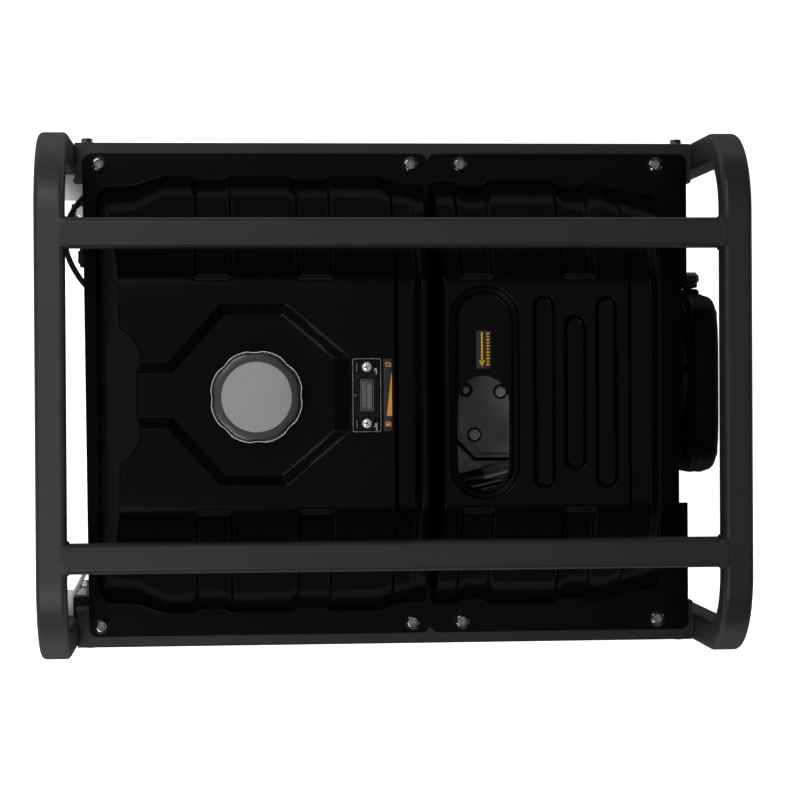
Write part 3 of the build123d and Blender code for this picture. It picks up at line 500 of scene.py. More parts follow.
def tank_height(X, Y):
    ay = np.abs(Y)
    yf = smooth_table(yfoot_tank, X[:, 0], 5.0)[:, None] * np.ones_like(Y)
    # plateau and shoulders
    q = ay - 112.0
    drop = 0.70 * 0.5 * (q + np.sqrt(q * q + 40.0)) + 0.0006 * np.clip(q, 0, None) ** 2
    S = ZT - drop
    # shoulder grooves
    g1 = window(X, -187, -159, 6.0) + window(X, -88, -62, 6.0)
    gend = ss((ay - 109.0) / 7.0)
    S = S - 7.5 * np.clip(g1, 0, 1) * gend
    # octagonal recess around the filler
    def plane(n, c_out, c_in):
        d = n[0] * X + n[1] * ay
        return (c_out - d) / (c_out - c_in)
    k = math.sqrt(0.5)
    n1 = (0.649, 0.761)       # front and rear right diagonals
    n2 = (-0.745, 0.667)      # left diagonals
    ts = [plane((1, 0), -42, -58), plane((0, 1), 87.5, 76.5), plane((-1, 0), 226, 214),
          plane(n1, n1[0] * -104 + n1[1] * 88.5, n1[0] * -107 + n1[1] * 76.5),
          plane(n2, n2[0] * -167 + n2[1] * 86, n2[0] * -164 + n2[1] * 74.5)]
    t = ts[0]
    for u in ts[1:]:
        t = rmin(t, u, 0.12)
    # channel to the left bay
    tc = rmin((33.0 - ay) / 13.0, (-150.0 - X) / 20.0, 0.12)
    t = rmax(t, tc, 0.12)
    t = np.clip(t, 0, 1)
    edge = 0.05
    tt = np.where(t < edge, t * t / (2 * edge), np.where(t > 1 - edge, 1 - edge - (1 - t) ** 2 / (2 * edge), t - edge / 2)) / (1 - edge)
    S = S - 6.0 * tt
    # bay: sheet falls away to the left of the channel
    zb = 594.0 + 1.55 * (X + 246.0) + 0.04 * np.clip(ay - 38.0, 0, None) ** 2
    S = rmin(S, zb, 1.6)
    # full-length channel before the right-hand ridge
    ch = ss((X - 0.5) / 4.0) * ss((28.0 - X) / 9.0)
    S = S - 8.5 * ch
    # walls
    a = (yf - ay) * 2.25
    b = (X + 288.0) * 4.3
    wall = corner_min(a, b, 46.0)
    c = (36.5 - X) * 26.0
    wall = rmin(wall, c, 12.0)
    H = rmin(wall, S - FL, 9.0)
    return FL + rmax(H, np.zeros_like(H), 2.2)


def yfoot_cover(x):
    xs = [40, 62, 70, 76, 96, 102, 165, 172, 176, 194, 200, 214, 228, 245, 262, 275]
    ys = [212, 212, 210, 207, 207, 213, 213, 210, 206.5, 206.5, 210.5, 210.5, 206, 201.5, 200, 198]
    return np.interp(x, xs, ys)


def stadium(X, Y, cx, hw, y0, y1):
    """Signed distance to a vertical stadium, negative inside."""
    yc = np.clip(Y, y0 + hw, y1 - hw)
    return np.sqrt((X - cx) ** 2 + (Y - yc) ** 2) - hw


SLOT = (86.5, 25.0, -93.0, 17.0)


def cover_height(X, Y):
    ay = np.abs(Y)
    yf = smooth_table(yfoot_cover, X[:, 0], 5.0)[:, None] * np.ones_like(Y)
    q = ay - 112.0
    S = ZT - 0.70 * 0.5 * (q + np.sqrt(q * q + 40.0)) - 0.0006 * np.clip(q, 0, None) ** 2
    g1 = window(X, 69, 93, 6.0) + window(X, 168, 192, 6.0)
    S = S - 7.5 * np.clip(g1, 0, 1) * ss((ay - 109.0) / 7.0)
    # access recess: two steps down round the slot
    d = stadium(X, Y, 87.5, 34.5, -103.0, 105.0)
    S = S - 2.6 * ss((0.0 - d) / 4.0) - 3.0 * ss((-5.0 - d) / 4.5)
    # three long pressed grooves
    for cx, y0, y1 in ((145.5, -93.0, 95.0), (175.5, -75.0, 76.0), (206.0, -93.0, 94.0)):
        d = stadium(X, Y, cx, 11.5, y0, y1)
        S = S - 4.6 * ss((0.0 - d) / 4.6)
    # full-length channel before the right-hand ridge
    ch = ss((X - 227.0) / 3.5) * ss((259.0 - X) / 9.0)
    S = S - 8.5 * ch
    a = (yf - ay) * 2.25
    b = (X - 44.0) * 24.0
    c = (276.0 - X) * 6.0
    wall = rmin(corner_min(a, c, 46.0), b, 12.0)
    H = rmin(wall, S - FL, 9.0)
    return FL + rmax(H, np.zeros_like(H), 2.2)


def sheet_mesh(name, x0, x1, yh, corner, xmarks, ymarks, height, holes, notch, mat, replaces, slot):
    xs = edge_lines(x0, x1, xmarks, 2.6, 0.7, 5.0)
    ys = edge_lines(-yh, yh, ymarks, 2.6, 0.8, 5.0)
    X, Y = np.meshgrid(xs, ys, indexing="ij")
    # round the outer corners by mapping each corner square onto a quarter disc
    Xc, Yc = X.copy(), Y.copy()
    for sx, ex in ((-1, x0), (1, x1)):
        for sy in (-1, 1):
            cx, cy = ex - sx * corner, sy * (yh - corner)
            u, v = (X - cx) * sx / corner, (Y - cy) * sy / corner
            m = (u > 0) & (v > 0)
            Xc = np.where(m, cx + sx * corner * u * np.sqrt(np.clip(1 - v * v / 2, 0, 1)), Xc)
            Yc = np.where(m, cy + sy * corner * v * np.sqrt(np.clip(1 - u * u / 2, 0, 1)), Yc)
    if name.startswith("tank"):
        # the left flange edge runs slightly out of square
        t = np.clip((-286.0 - Xc) / 15.5, 0, 1)
        Xc = Xc + t * (1.15 - 2.05 * Yc / 241.0)
    keep = np.ones(X.shape, bool)
    for kind, *p in holes:
        if kind == "stadium":
            cx, hw, y0, y1 = p
            yc = np.clip(Yc, y0 + hw, y1 - hw)
            dx, dy = Xc - cx, Yc - yc
            r = np.sqrt(dx * dx + dy * dy)
            band = (r < hw + 0.9) & (r > hw - 1.2)
            sc_ = np.where(band, hw / np.maximum(r, 1e-6), 1.0)
            Xc, Yc = np.where(band, cx + dx * sc_, Xc), np.where(band, yc + dy * sc_, Yc)
            keep &= ~((r < hw - 1.2))
    if notch:
        nx, ny0, ny1 = notch
        keep &= ~((X > nx + 0.01) & (Y > ny0) & (Y < ny1))
    Z = height(Xc, Yc) if name != "x" else None
    nx_, ny_ = X.shape
    idx = -np.ones(X.shape, int)
    idx[keep] = np.arange(keep.sum())
    verts = np.stack([(Xc[keep] + XS) / 1000, Yc[keep] / 1000, Z[keep] / 1000], 1)
    a, b, c, d = idx[:-1, :-1], idx[1:, :-1], idx[1:, 1:], idx[:-1, 1:]
    ok = (a >= 0) & (b >= 0) & (c >= 0) & (d >= 0)
    faces = np.stack([a[ok], b[ok], c[ok], d[ok]], 1)
    o = make(name, verts, faces.tolist(), mat, replaces=replaces, slot=slot, angle=60)
    md = o.modifiers.new("sheet", "SOLIDIFY")
    md.thickness = 0.0014
    md.offset = -1.0
    md.use_rim = True
    dg = bpy.context.evaluated_depsgraph_get()
    me = bpy.data.meshes.new_from_object(o.evaluated_get(dg))
    o.modifiers.clear()
    o.data = me
    me.set_sharp_from_angle(angle=math.radians(50))
    return o


def height_flat_x(h):
    """Returns h unchanged; heights use the row index for the foot line."""
    return h


tank = sheet_mesh("tank_top_skin", -301.5, 42.9, 241.0, 10.0,
                  [-288, -280, -270, -264, -246, -236, -226, -193, -187, -159, -153, -94, -88, -62, -56, -50, -42, 0, 4, 20, 28, 34, 37],
                  [-241, 241, -218, -208, -196, 218, 208, 196, -112, 112, -116, 116, -87, 87, -77, 77, -33, 33, -20, 20],
                  tank_height, [("stadium", -132.0, 36.3, -38.3, 34.3)], None, M["tank"], ("tank_upper_shell",), "tank_paint")
cover = sheet_mesh("engine_cover_skin", 43.0, 306.0, 241.0, 8.0,
                   [44, 48, 53, 57, 60, 63, 69, 87, 93, 99, 110, 114, 118, 122, 134, 139, 152, 157, 164, 168, 183, 187, 192, 198, 213, 218, 227, 231, 250, 259, 266, 272, 277, 298],
                   [-241, 241, -212, -202, -192, 212, 202, 192, -112, 112, -116, 116, -93, 95, -103, 105, 100, -98, -90, 90, -75, 76, 17, 10, -85],
                   cover_height, [("stadium",) + SLOT], (297.6, -112.0, 110.0), M["tank"], ("top_cover",), "tank_paint")

# ------------------------------------------------------------------ filler cap
CAPX, CAPY = -132.0, -2.0


def scallop(a, r, h):
    if r < 40.6:
        return r
    s = 0.5 + 0.5 * math.cos(8 * (a - math.radians(1.6)))
    return r - 3.9 * (s ** 3.0) * min(1.0, (r - 40.6) / 2.5) * (1.0 if h > 617 else 0.45)


cap = Mesh()
prof = [(0, 615.6), (8.0, 615.6), (40.0, 615.6), (40.3, 615.2), (40.6, 602.6), (41.0, 602.2), (43.0, 602.2), (43.6, 603.0), (43.95, 606), (43.95, 619.5), (43.8, 621.2), (43.2, 622.8), (42.3, 623.9), (41.2, 624.5), (39.5, 624.9), (36.2, 625.15), (34.2, 625.25), (30.0, 625.25), (0, 625.25)]
vs, fs = lathe(prof, 192, (CAPX, CAPY, 0), radial=scallop)
cap.add(vs, fs)
cap_o = cap.out("fuel_cap_shell", [M["capm"]], body="cap", replaces=("fuel_cap",), slot="cap_metal", angle=40)
disc = Mesh()
vs, fs = lathe([(0, 625.2), (33.1, 625.2), (33.3, 625.45), (33.2, 625.8), (32.9, 625.9), (0, 625.95)], 128, (CAPX, CAPY, 0))
disc.add(vs, fs)
disc.out("fuel_cap_disc", [M["disc"]], body="cap", slot="cap_metal")
# light line that runs round the scalloped rim: painted highlight on its rounded top edge
ring = Mesh()
n = 240
pts = []
for i in range(n + 1):
    a = 2 * math.pi * i / n
    r = scallop(a, 43.75, 0)
    pts.append((CAPX + r * math.cos(a), CAPY + r * math.sin(a), 621.9))
vs, fs = tube_path(pts, 0.34, 8)
ring.add(vs, fs[:-2])
ring.out("fuel_cap_rim_highlight", [M["bright"]], body="cap", slot="cap_metal")

# ------------------------------------------------------------------ fuel gauge
GX, GY, GZ = -26.5, -1.0, 600.0
g = Mesh()


def ring_frame(mesh, x0, x1, y0, y1, wx, wy, z0, z1, bev):
    for b in ((x0, x0 + wx, y0, y1), (x1 - wx, x1, y0, y1), (x0, x1, y0, y0 + wy), (x0, x1, y1 - wy, y1)):
        mesh.add(*rbox(b[0], b[1], b[2], b[3], z0, z1, bev))


g.add(*rbox(GX - 14, GX + 14, GY - 35.5, GY + 35.5, GZ - 2, GZ + 2.2, 1.0))
ring_frame(g, GX - 14, GX + 14, GY - 35.5, GY + 35.5, 2.2, 2.2, GZ, GZ + 4.6, 0.9)
for s in (-1, 1):
    g.add(*rbox(GX - 9.5, GX - 6.4, GY + s * 8 - 9, GY + s * 8 + 9, GZ, GZ + 5.4, 0.9))
    g.add(*rbox(GX + 6.4, GX + 9.5, GY + s * 8 - 9, GY + s * 8 + 9, GZ, GZ + 5.4, 0.9))
    g.add(*rbox(GX - 10, GX + 10, GY + s * 16 - 1.6, GY + s * 16 + 1.6, GZ, GZ + 5.2, 0.8))
    # screw bosses with cheeks
    vs, fs = lathe([(0, 0), (7.4, 0), (7.4, 3.6), (6.9, 4.4), (5.4, 4.4), (5.0, 3.2), (0, 3.0)], 40, (GX, GY + s * 27, GZ))
    g.add(vs, fs)
    for t in (-1, 1):
        g.add(*rbox(GX + t * 9.2 - 1.2, GX + t * 9.2 + 1.2, GY + s * 27 - 6, GY + s * 27 + 6, GZ, GZ + 5.6, 1.0))
# cross bars at mid length
g.add(*rbox(GX - 13, GX - 8.5, GY - 0.8, GY + 0.8, GZ, GZ + 4.8, 0.5))
g.add(*rbox(GX + 8.5, GX + 13, GY - 0.8, GY + 0.8, GZ, GZ + 4.8, 0.5))
g.add(*rbox(GX - 15, GX + 15, GY - 15, GY + 15, GZ - 24, GZ - 3, 3.0))
g.out("gauge_frame", [M["gloss"]], replaces=("gauge_body",), slot="gauge_plastic")
lens = Mesh()
vs, fs = rbox(GX - 5.8, GX + 5.8, GY - 14.5, GY + 14.5, GZ + 2.4, GZ + 5.3, 0.8)
lens.add(vs, fs)
lens.out("gauge_window", [M["glass"]], replaces=("gauge_lens",), slot="gauge_glass")
win = Mesh()
win.add(*rbox(GX - 5.4, GX + 5.4, GY - 14, GY + 14, GZ + 2.1, GZ + 2.7, 0.2), 0)
win.add(*rbox(GX - 5.0, GX - 0.6, GY - 12, GY + 13, GZ + 2.65, GZ + 3.1, 0.15), 1)
win.add(*rbox(GX + 0.4, GX + 4.8, GY - 13, GY + 11, GZ + 2.65, GZ + 3.3, 0.15), 2)
win.add(*rbox(GX - 0.5, GX + 4.6, GY + 11.9, GY + 12.7, GZ + 3.2, GZ + 3.45, 0.12), 3)
win.out("gauge_scale", [M["label"], M["window"], M["white"], M["red"]], slot="indicator_white")
scr = Mesh()
for s in (-1, 1):
    y = GY + s * 27
    vs, fs = lathe([(0, 2.6), (4.6, 2.6), (4.6, 4.2), (4.2, 4.9), (3.2, 5.5), (1.6, 5.8), (0, 5.85)], 40, (GX, y, GZ))
    scr.add(vs, fs, 0)
    # Dark raised crosses on the screw heads: painted shade of the cross recesses.
    a = 0.35 * s
    for k in range(2):
        ca, sa = math.cos(a + k * math.pi / 2), math.sin(a + k * math.pi / 2)
        vs, fs = rbox(-2.7, 2.7, -0.45, 0.45, 5.5, 5.95, 0.15)
        vs = [((x * 1000 - XS) * ca - (yy * 1000) * sa, (x * 1000 - XS) * sa + yy * 1000 * ca, z * 1000) for x, yy, z in vs]
        scr.add([W(GX + p[0], y + p[1], GZ + p[2]) for p in vs], fs, 1)
scr.out("gauge_screw_heads", [M["silver"], M["label"]], replaces=("gauge_screws",), slot="zinc")

ge = Mesh()


def round_rect(cx, cy, hx, hy, r, z, k=6):
    out = []
    for sx, sy, a0 in ((1, 1, 0), (-1, 1, 90), (-1, -1, 180), (1, -1, 270)):
        for j in range(k + 1):
            a = math.radians(a0 + 90 * j / k)
            out.append((cx + sx * (hx - r) + r * math.cos(a), cy + sy * (hy - r) + r * math.sin(a), z))
    return out + out[:1]


# Light lines along the gloss black frame's edges, bosses and bars: painted highlights where the rounded edges catch the
# lamps.
ge.add(*tube_path(round_rect(GX, GY, 13.3, 34.9, 1.6, GZ + 4.45), 0.28, 8))
ge.add(*tube_path(round_rect(GX, GY, 6.2, 14.6, 1.0, GZ + 5.2), 0.16, 8))
for s in (-1, 1):
    ge.add(*tube_path(smooth_pts([(GX + 7.2, GY + s * 27 - 3.5, GZ + 5.2), (GX + 9.0, GY + s * 27 - 0.5 - s, GZ + 5.9), (GX + 9.2, GY + s * 27 - 4.0 - 3.0, GZ + 5.4)], 5), 0.8, 10))
    ge.add(*tube_path([(GX - 9.6, GY + s * 27 - 4.5, GZ + 5.5), (GX - 9.6, GY + s * 27 + 3.5, GZ + 5.5)], 0.3, 8))
    ge.add(*tube_path([(GX - 12.5, GY + s * 0.6, GZ + 4.9), (GX - 9.0, GY + s * 0.6, GZ + 4.9)], 0.18, 8))
ge.out("gauge_edge_highlights", [M["edgeline"]], slot="gauge_plastic")

# scale strip beside the gauge: a plain wedge with a small pump sign at each end
st = Mesh()
SX0, SX1, SY0, SY1 = -10.2, -1.6, -35.5, 34.0
zt = GZ + 0.0
st.add(*rbox(SX0, SX1, SY0, SY1, zt - 0.4, zt + 0.35, 0.15), 0)
zz0, zz1 = zt + 0.3, zt + 0.55
tri = [(SX1 - 0.6, 20.0), (SX1 - 0.6, -21.0), (SX1 - 5.6, -21.0), (SX1 - 1.2, 20.0)]
k = [W(x, y, z) for z in (zz0, zz1) for x, y in tri]
st.add(k, [(3, 2, 1, 0), (4, 5, 6, 7), (0, 1, 5, 4), (1, 2, 6, 5), (2, 3, 7, 6), (3, 0, 4, 7)], 1)


def pump_sign(mesh, x, y, solid):
    e = 0.7
    if solid:
        mesh.add(*rbox(x - 2.6, x + 1.4, y - 2.2, y + 2.2, zz0, zz1, 0.08), 1)
        mesh.add(*rbox(x - 1.6, x + 0.2, y + 0.2, y + 1.4, zz1 - 0.05, zz1 + 0.1, 0.03), 0)
    else:
        for b in ((x - 2.6, x + 1.4, y - 2.2, y - 2.2 + e), (x - 2.6, x + 1.4, y + 2.2 - e, y + 2.2), (x - 2.6, x - 2.6 + e, y - 2.2, y + 2.2), (x + 1.4 - e, x + 1.4, y - 2.2, y + 2.2)):
            mesh.add(*rbox(*b, zz0, zz1, 0.08), 1)
        mesh.add(*rbox(x - 1.4, x + 0.2, y + 0.1, y + 1.0, zz0, zz1, 0.08), 1)
    mesh.add(*rbox(x + 1.9, x + 2.6, y - 2.4, y + 1.6, zz0, zz1, 0.08), 1)
    mesh.add(*rbox(x + 1.3, x + 2.3, y - 2.6, y - 2.0, zz0, zz1, 0.08), 1)


pump_sign(st, -5.6, 28.5, False)
pump_sign(st, -5.6, -28.5, True)
st.out("gauge_strip", [M["label"], M["orange"]], slot="indicator_white")

# ------------------------------------------------------------------ slot label: arrow and plain ticks
lb = Mesh()
LX0, LX1, LY0, LY1 = 80.0, 94.5, 24.0, 60.5
zl = ZT - 5.6
lb.add(*rbox(LX0, LX1, LY0, LY1, zl - 0.3, zl + 0.3, 0.12), 0)
za, zb_ = zl + 0.25, zl + 0.5
lb.add(*rbox(84.6, 86.2, 30.0, 59.0, za, zb_, 0.08), 1)
tri = [(82.6, 32.0), (85.4, 26.0), (88.2, 32.0)]
k = [W(x, y, z) for z in (za, zb_) for x, y in tri]
lb.add(k, [(2, 1, 0), (3, 4, 5), (0, 1, 4, 3), (1, 2, 5, 4), (2, 0, 3, 5)], 1)
for i in range(11):
    y = 27.0 + i * 3.0
    w = (3.2, 2.2, 3.2, 2.6)[i % 4]
    lb.add(*rbox(91.2 - w / 2, 91.2 + w / 2, y, y + 1.5, za, zb_, 0.08), 1)
lb.out("slot_label", [M["label"], M["yellow"]], slot="indicator_white")

# ------------------------------------------------------------------ bolts
b, wa = Mesh(), Mesh()
i = 0
for x in (-286.0, 25.0, 75.0, 274.0):
    for s in (-1, 1):
        flange_bolt(b, x, s * 230.0, FL + 0.9, washer=7.0, spin=0.4 + i * 0.7)
        # Black ring under each bolt flange.
        vs, fs = lathe([(0, 0), (8.7, 0), (8.8, 0.4), (8.6, 0.9), (7.6, 1.1), (0, 1.1)], 48, (x, s * 230.0, FL))
        wa.add(vs, fs)
        i += 1
b.out("panel_bolt_heads", [M["zinc"]], replaces=("panel_bolts",), slot="zinc", angle=28)
wa.out("panel_bolt_dark_rings", [M["rubber"]], slot="rubber_black")
b = Mesh()
for x in (-298.0, 298.0):
    for s in (-1, 1):
        flange_bolt(b, x, s * 252.05 if s > 0 else -248.0, 479.5, af=11.0, washer=6.6, spin=0.3 + x, axis="y" if s > 0 else "-y", height=4.9)
b.out("rail_bolt_heads", [M["zinc"]], replaces=("rail_bolts",), slot="zinc", angle=28)

# ------------------------------------------------------------------ blower shroud and recoil starter cover
RY, RZ = 8.5, 240.0


def octo_ring(r, k, n=144):
    """Outline of half-width r in the Y-Z plane: a square whose corners follow a curve of power k (2 is a circle)."""
    out = []
    for i in range(n):
        a = 2 * math.pi * i / n
        out.append((r / (abs(math.sin(a)) ** k + abs(math.cos(a)) ** k) ** (1.0 / k), a))
    return out


def octo_lathe(mesh, prof, mi=0, n=144, cy=None):
    """Closed form along X from (half-width, x, power) rows, capped at both ends."""
    cy = RY if cy is None else cy
    vs, fs = [], []
    for r, x, k in prof:
        for q, a in octo_ring(r, k, n):
            vs.append(W(x, cy + q * math.sin(a), RZ + q * math.cos(a)))
    m = len(prof)
    for j in range(m - 1):
        for i in range(n):
            ii = (i + 1) % n
            fs.append((j * n + i, (j + 1) * n + i, (j + 1) * n + ii, j * n + ii))
    fs.append(tuple(range(n)))
    fs.append(tuple((m - 1) * n + i for i in reversed(range(n))))
    mesh.add(vs, fs, mi)


sh = Mesh()
octo_lathe(sh, [(84, 344.6, 5), (97.0, 345.0, 5), (98.0, 346.4, 5), (98.2, 358, 5), (98.0, 362.5, 5), (97.5, 366.0, 5), (96.4, 369.5, 5.0),
                (94.6, 372.0, 4.8), (92.4, 373.3, 4.6), (89.6, 373.6, 4.4)])
# shallow press lines round the cover
for x in (351.5, 361.0):
    octo_lathe(sh, [(97.0, x - 1.6, 5), (98.9, x - 0.9, 5), (98.9, x + 0.9, 5), (97.0, x + 1.6, 5)])
# face: raised ring, air slots with dark recesses between ribs, centre boss
for r0, r1, x1 in ((60.0, 64.0, 374.6), (24.0, 27.0, 374.6)):
    vs, fs = lathe([(r0, 373.0), (r1, 373.0), (r1, x1 - 0.5), (r1 - 0.6, x1), (r0 + 0.6, x1), (r0, x1 - 0.5), (r0, 373.0)], 96, (0, RY, RZ), "x")
    sh.add(vs, fs)
vs, fs = lathe([(0, 373.0), (16, 373.0), (16, 374.0), (15, 374.8), (0, 374.9)], 64, (0, RY, RZ), "x")
sh.add(vs, fs)
for i in range(24):
    a = 2 * math.pi * i / 24
    x0, x1 = 373.2, 374.5
    q = []
    for r, w in ((29.0, 1.1), (58.5, 1.9)):
        for s in (-1, 1):
            q.append((r * math.cos(a) - s * w * math.sin(a), r * math.sin(a) + s * w * math.cos(a)))
    k = [W(x, RY + p[0], RZ + p[1]) for x in (x0, x1) for p in (q[0], q[1], q[3], q[2])]
    sh.add(k, [(3, 2, 1, 0), (4, 5, 6, 7), (0, 1, 5, 4), (1, 2, 6, 5), (2, 3, 7, 6), (3, 0, 4, 7)])
# rope outlet at the rear, above the shaft line
sh.add(*rbox(346.5, 365.5, 92.0, 113.6, 228, 272, 4.0))
sh.add(*rbox(337.0, 346.6, 98.0, 130.6, 232, 270, 3.0, 4))
for i in range(4):
    a = math.pi / 4 + i * math.pi / 2
    vs, fs = lathe([(0, 372.0), (7.0, 372.0), (7.0, 373.8), (6.2, 374.6), (0, 374.8)], 32, (0, RY + 104 * math.cos(a), RZ + 104 * math.sin(a)), "x")
    sh.add(vs, fs)
sh.out("recoil_cover_shell", [M["engine"]], replaces=("recoil_cover",), slot="engine_black", angle=30)

bl = Mesh()
octo_lathe(bl, [(60, 217.0, 2), (102.6, 217.2, 2), (104.4, 219.0, 2), (104.9, 224.0, 2), (104.9, 326.0, 2), (103.8, 332.0, 2), (100.6, 337.0, 2), (97.0, 339.6, 2),
                (95.4, 341.0, 2), (95.4, 344.4, 2), (70.0, 344.6, 2)], cy=17.0)
for x in (240.0, 262.0, 284.0, 306.0):
    octo_lathe(bl, [(104.4, x - 3.0, 2), (105.0, x - 1.6, 2), (105.0, x + 1.6, 2), (104.4, x + 3.0, 2)], cy=17.0)
bl.add(*rbox(217.0, 290.0, 17.0 - 84, 17.0 + 84, 262, 417.5, 9.0, 4))
for y in (-50.0, -16.0, 18.0, 52.0, 84.0):
    bl.add(*rbox(286.0, 292.2, y - 2.0, y + 2.0, 330, 408, 1.6))
bl.add(*rbox(216.2, 224.0, 17.0 - 86, 17.0 + 86, 340, 417.9, 3.0))
bl.out("blower_shroud", [M["engine"]], replaces=("blower_housing",), slot="engine_black", angle=30)
# bolts on the shroud's flange
bb = Mesh()
for i in range(6):
    a = math.radians(25 + 60 * i)
    vs, fs = lathe([(0, 0), (6.4, 0), (6.4, 1.0), (5.6, 1.6), (5.2, 1.8), (5.2, 5.2), (4.6, 6.0), (0, 6.0)], 36, (337.5, 17.0 + 96.5 * math.cos(a), RZ + 96.5 * math.sin(a)), "x",
                   radial=lambda t, r, h: hexring(9.0)(t, r, h) if 1.7 < h < 5.9 else r)
    bb.add(vs, fs)
bb.out("shroud_bolts", [M["engine"]], slot="engine_black", angle=28)

hd = Mesh()
hd.add(*rbox(347.2, 364.8, 118.4, 131.2, 222.2, 277.8, 5.6, 6))
hd.add(*rbox(347.6, 363.5, 114.6, 121.0, 229.0, 271.0, 2.4, 4))
for z in range(228, 275, 5):
    hd.add(*tube_path([(351.0, 131.0, z), (361.0, 131.0, z)], 0.9, 10))
vs, fs = lathe([(0, 0), (5.0, 0), (5.6, 1.2), (5.9, 3.0), (6.6, 4.4), (7.4, 5.6), (0, 5.6)], 40, (356.0, 114.4, 250.0), "y")
hd.add(vs, fs)
hd.out("starter_handle", [M["plastic"]], body="recoil_handle", replaces=("recoil_handle",), slot="plastic_black", angle=40)

# ------------------------------------------------------------------ under the access slot
rb = Mesh()
for x, y, q in ((84.0, 3.0, 0.62), (120.0, 1.0, 0.95), (93.0, -43.0, 1.0), (138.0, -52.0, 1.0)):
    # Thin dark discs under the bolt heads: painted shade of the recesses the bolts sit in.
    vs, fs = lathe([(0, 0), (7.6, 0), (7.6, 0.6), (6.9, 0.9), (0, 0.9)], 40, (x, y, 452.02))
    rb.add([tuple(p) for p in vs], fs, 1)
    vs, fs = lathe([(0, 0.4), (5.4 * q, 0.4), (5.4 * q, 1.2), (4.9 * q, 1.7), (4.4 * q, 1.8), (4.4 * q, 4.6), (3.8 * q, 5.3), (2.8 * q, 5.4), (2.3 * q, 4.2), (0, 4.0)], 40, (x, y, 452.05),
                   radial=lambda t, r, h, q=q: hexring(7.8 * q)(t + 0.3, r, h) if 1.75 < h < 5.0 and r > 3 * q else r)
    rb.add(vs, fs, 0)
rb.out("rocker_bolt_heads", [M["boltgrey"], M["label"]], replaces=("rocker_cover_bolts",), slot="zinc", angle=28)
rim = [(70, -40), (96, -67), (152, -67), (152, 62), (70, 62), (70, -40)]


def inset(points, d, z):
    c = np.mean(np.array(points[:-1], float), 0)
    out = []
    for x, y in points:
        v = np.array((x, y), float) - c
        out.append((x - d * np.sign(v[0]) * (0.41 if (x, y) in ((96, -67),) else 1.0), y - d * np.sign(v[1]) * (0.41 if (x, y) in ((70, -40),) else 1.0), z))
    dense = []
    for a, b_ in zip(out, out[1:]):
        a, b_ = np.array(a), np.array(b_)
        for t in np.linspace(0, 1, 16, endpoint=False):
            dense.append(tuple(a + (b_ - a) * t))
    return dense + [out[-1]]


rr = Mesh()
rr.add(*tube_path(inset(rim, -1.6, 429.5), 1.9, 10), 0)
rr.add(*tube_path(inset(rim, 1.9, 451.2), 0.55, 8), 1)
rr.add(*tube_path(smooth_pts([(132.0, -38.0, 452.3), (133.0, -20.0, 452.4), (132.0, 2.0, 452.3)], 8), 1.6, 10), 2)
rr.out("rocker_rim", [M["engine"], M["silver"], M["rockerm"]], slot="engine_black")
# thick grey sleeve and thin pipes at the breather
sl = Mesh()
sl.add(*tube_path(smooth_pts([(102.0, -82.0, 448.5), (116.0, -78.5, 449.0), (130.0, -75.0, 449.0)], 6), 6.8, 24))
sl.out("breather_sleeve", [M["sleeve"]], slot="rubber_black")
dk = Mesh()
dk.add(*rbox(52.0, 140.0, -128.0, -90.0, 410.0, 432.0, 5.0))
dk.out("deflector", [M["engine"]], slot="engine_black")
pp = Mesh()
for dy, dz, r in ((-10.0, -6.0, 2.2), (-15.5, -8.0, 1.7), (-20.0, -7.0, 2.6)):
    pp.add(*tube_path(smooth_pts([(44.0, -100.0 + dy * 0.6, 444 + dz), (74.0, -91.0 + dy * 0.9, 446 + dz), (104.0, -84.0 + dy, 446 + dz), (128.0, -78.0 + dy, 446 + dz), (146.0, -72.0 + dy, 436 + dz)], 8), r * 0.62, 12))
pp.out("thin_pipes", [M["irongrey"]], slot="rubber_black")

# ------------------------------------------------------------------ left end: looped lead, clip and clamp plate
lp = Mesh()
lp.add(*tube_path(smooth_pts([(-296, 85, 300), (-296, 100, 380), (-297, 108, 425), (-303.0, 112, 439), (-311.0, 122.5, 440), (-318.0, 135.5, 441), (-322.0, 147.6, 441.5), (-323.2, 163, 441), (-319.0, 180, 441), (-310.0, 195, 441), (-300.0, 206, 442), (-296, 222, 447), (-296, 232, 456), (-296, 236, 466.5)], 10), 2.9, 16), 0)
lp.add(*tube_path(smooth_pts([(-276.4, 85, 275), (-288, 85, 276), (-295, 85, 284), (-296, 85, 300)], 8), 2.9, 16), 0)
lp.add(*rbox(-310.0, -284.3, 133.2, 146.8, 431, 449, 1.8), 0)
lp.add(*rbox(-308.5, -300.0, 130.0, 150.0, 434, 446, 1.5), 0)
lp.add(*rbox(-317, -284.3, 176, 195, 434, 438.4, 1.2), 1)
vs, fs = lathe([(0, 0), (6.2, 0), (6.2, 0.8), (5.4, 1.4), (4.8, 1.6), (4.8, 4.4), (4.2, 5.2), (0, 5.2)], 40, (-307.0, 187.0, 438.3), radial=lambda t, r, h: hexring(8.6)(t, r, h) if 1.5 < h < 5.0 else r)
lp.add(vs, fs, 2)
for s in (-1, 1):
    y0, y1 = sorted((s * 198.0, s * 224.6))
    lp.add(*rbox(-325.5, -304.0, y0, y1, 438.8, 441.0, 0.7), 3)
    lp.add(*rbox(-309.5, -307.9, y0, y1, 424.0, 440.0, 0.6), 3)
lp.add(*rbox(-316.5, -297.0, -224.8, -203.5, 436.0, 462.0, 2.0), 0)

lp.add(*tube_path([(-318.5, -206.0, 441.5), (-307.5, -184.5, 441.5), (-302.0, -172.0, 441.5)], 2.3, 8), 3)
vs, fs = lathe([(0, 0), (2.8, 0), (2.8, 1.0), (2.3, 3.0), (0, 3.4)], 32, (-305.5, -192.0, 441.5))
lp.add(vs, fs, 2)
lp.add(*tube_path([(-323.5, 240.0, 480.0), (-309.5, 240.0, 480.0)], 4.5, 16), 1)
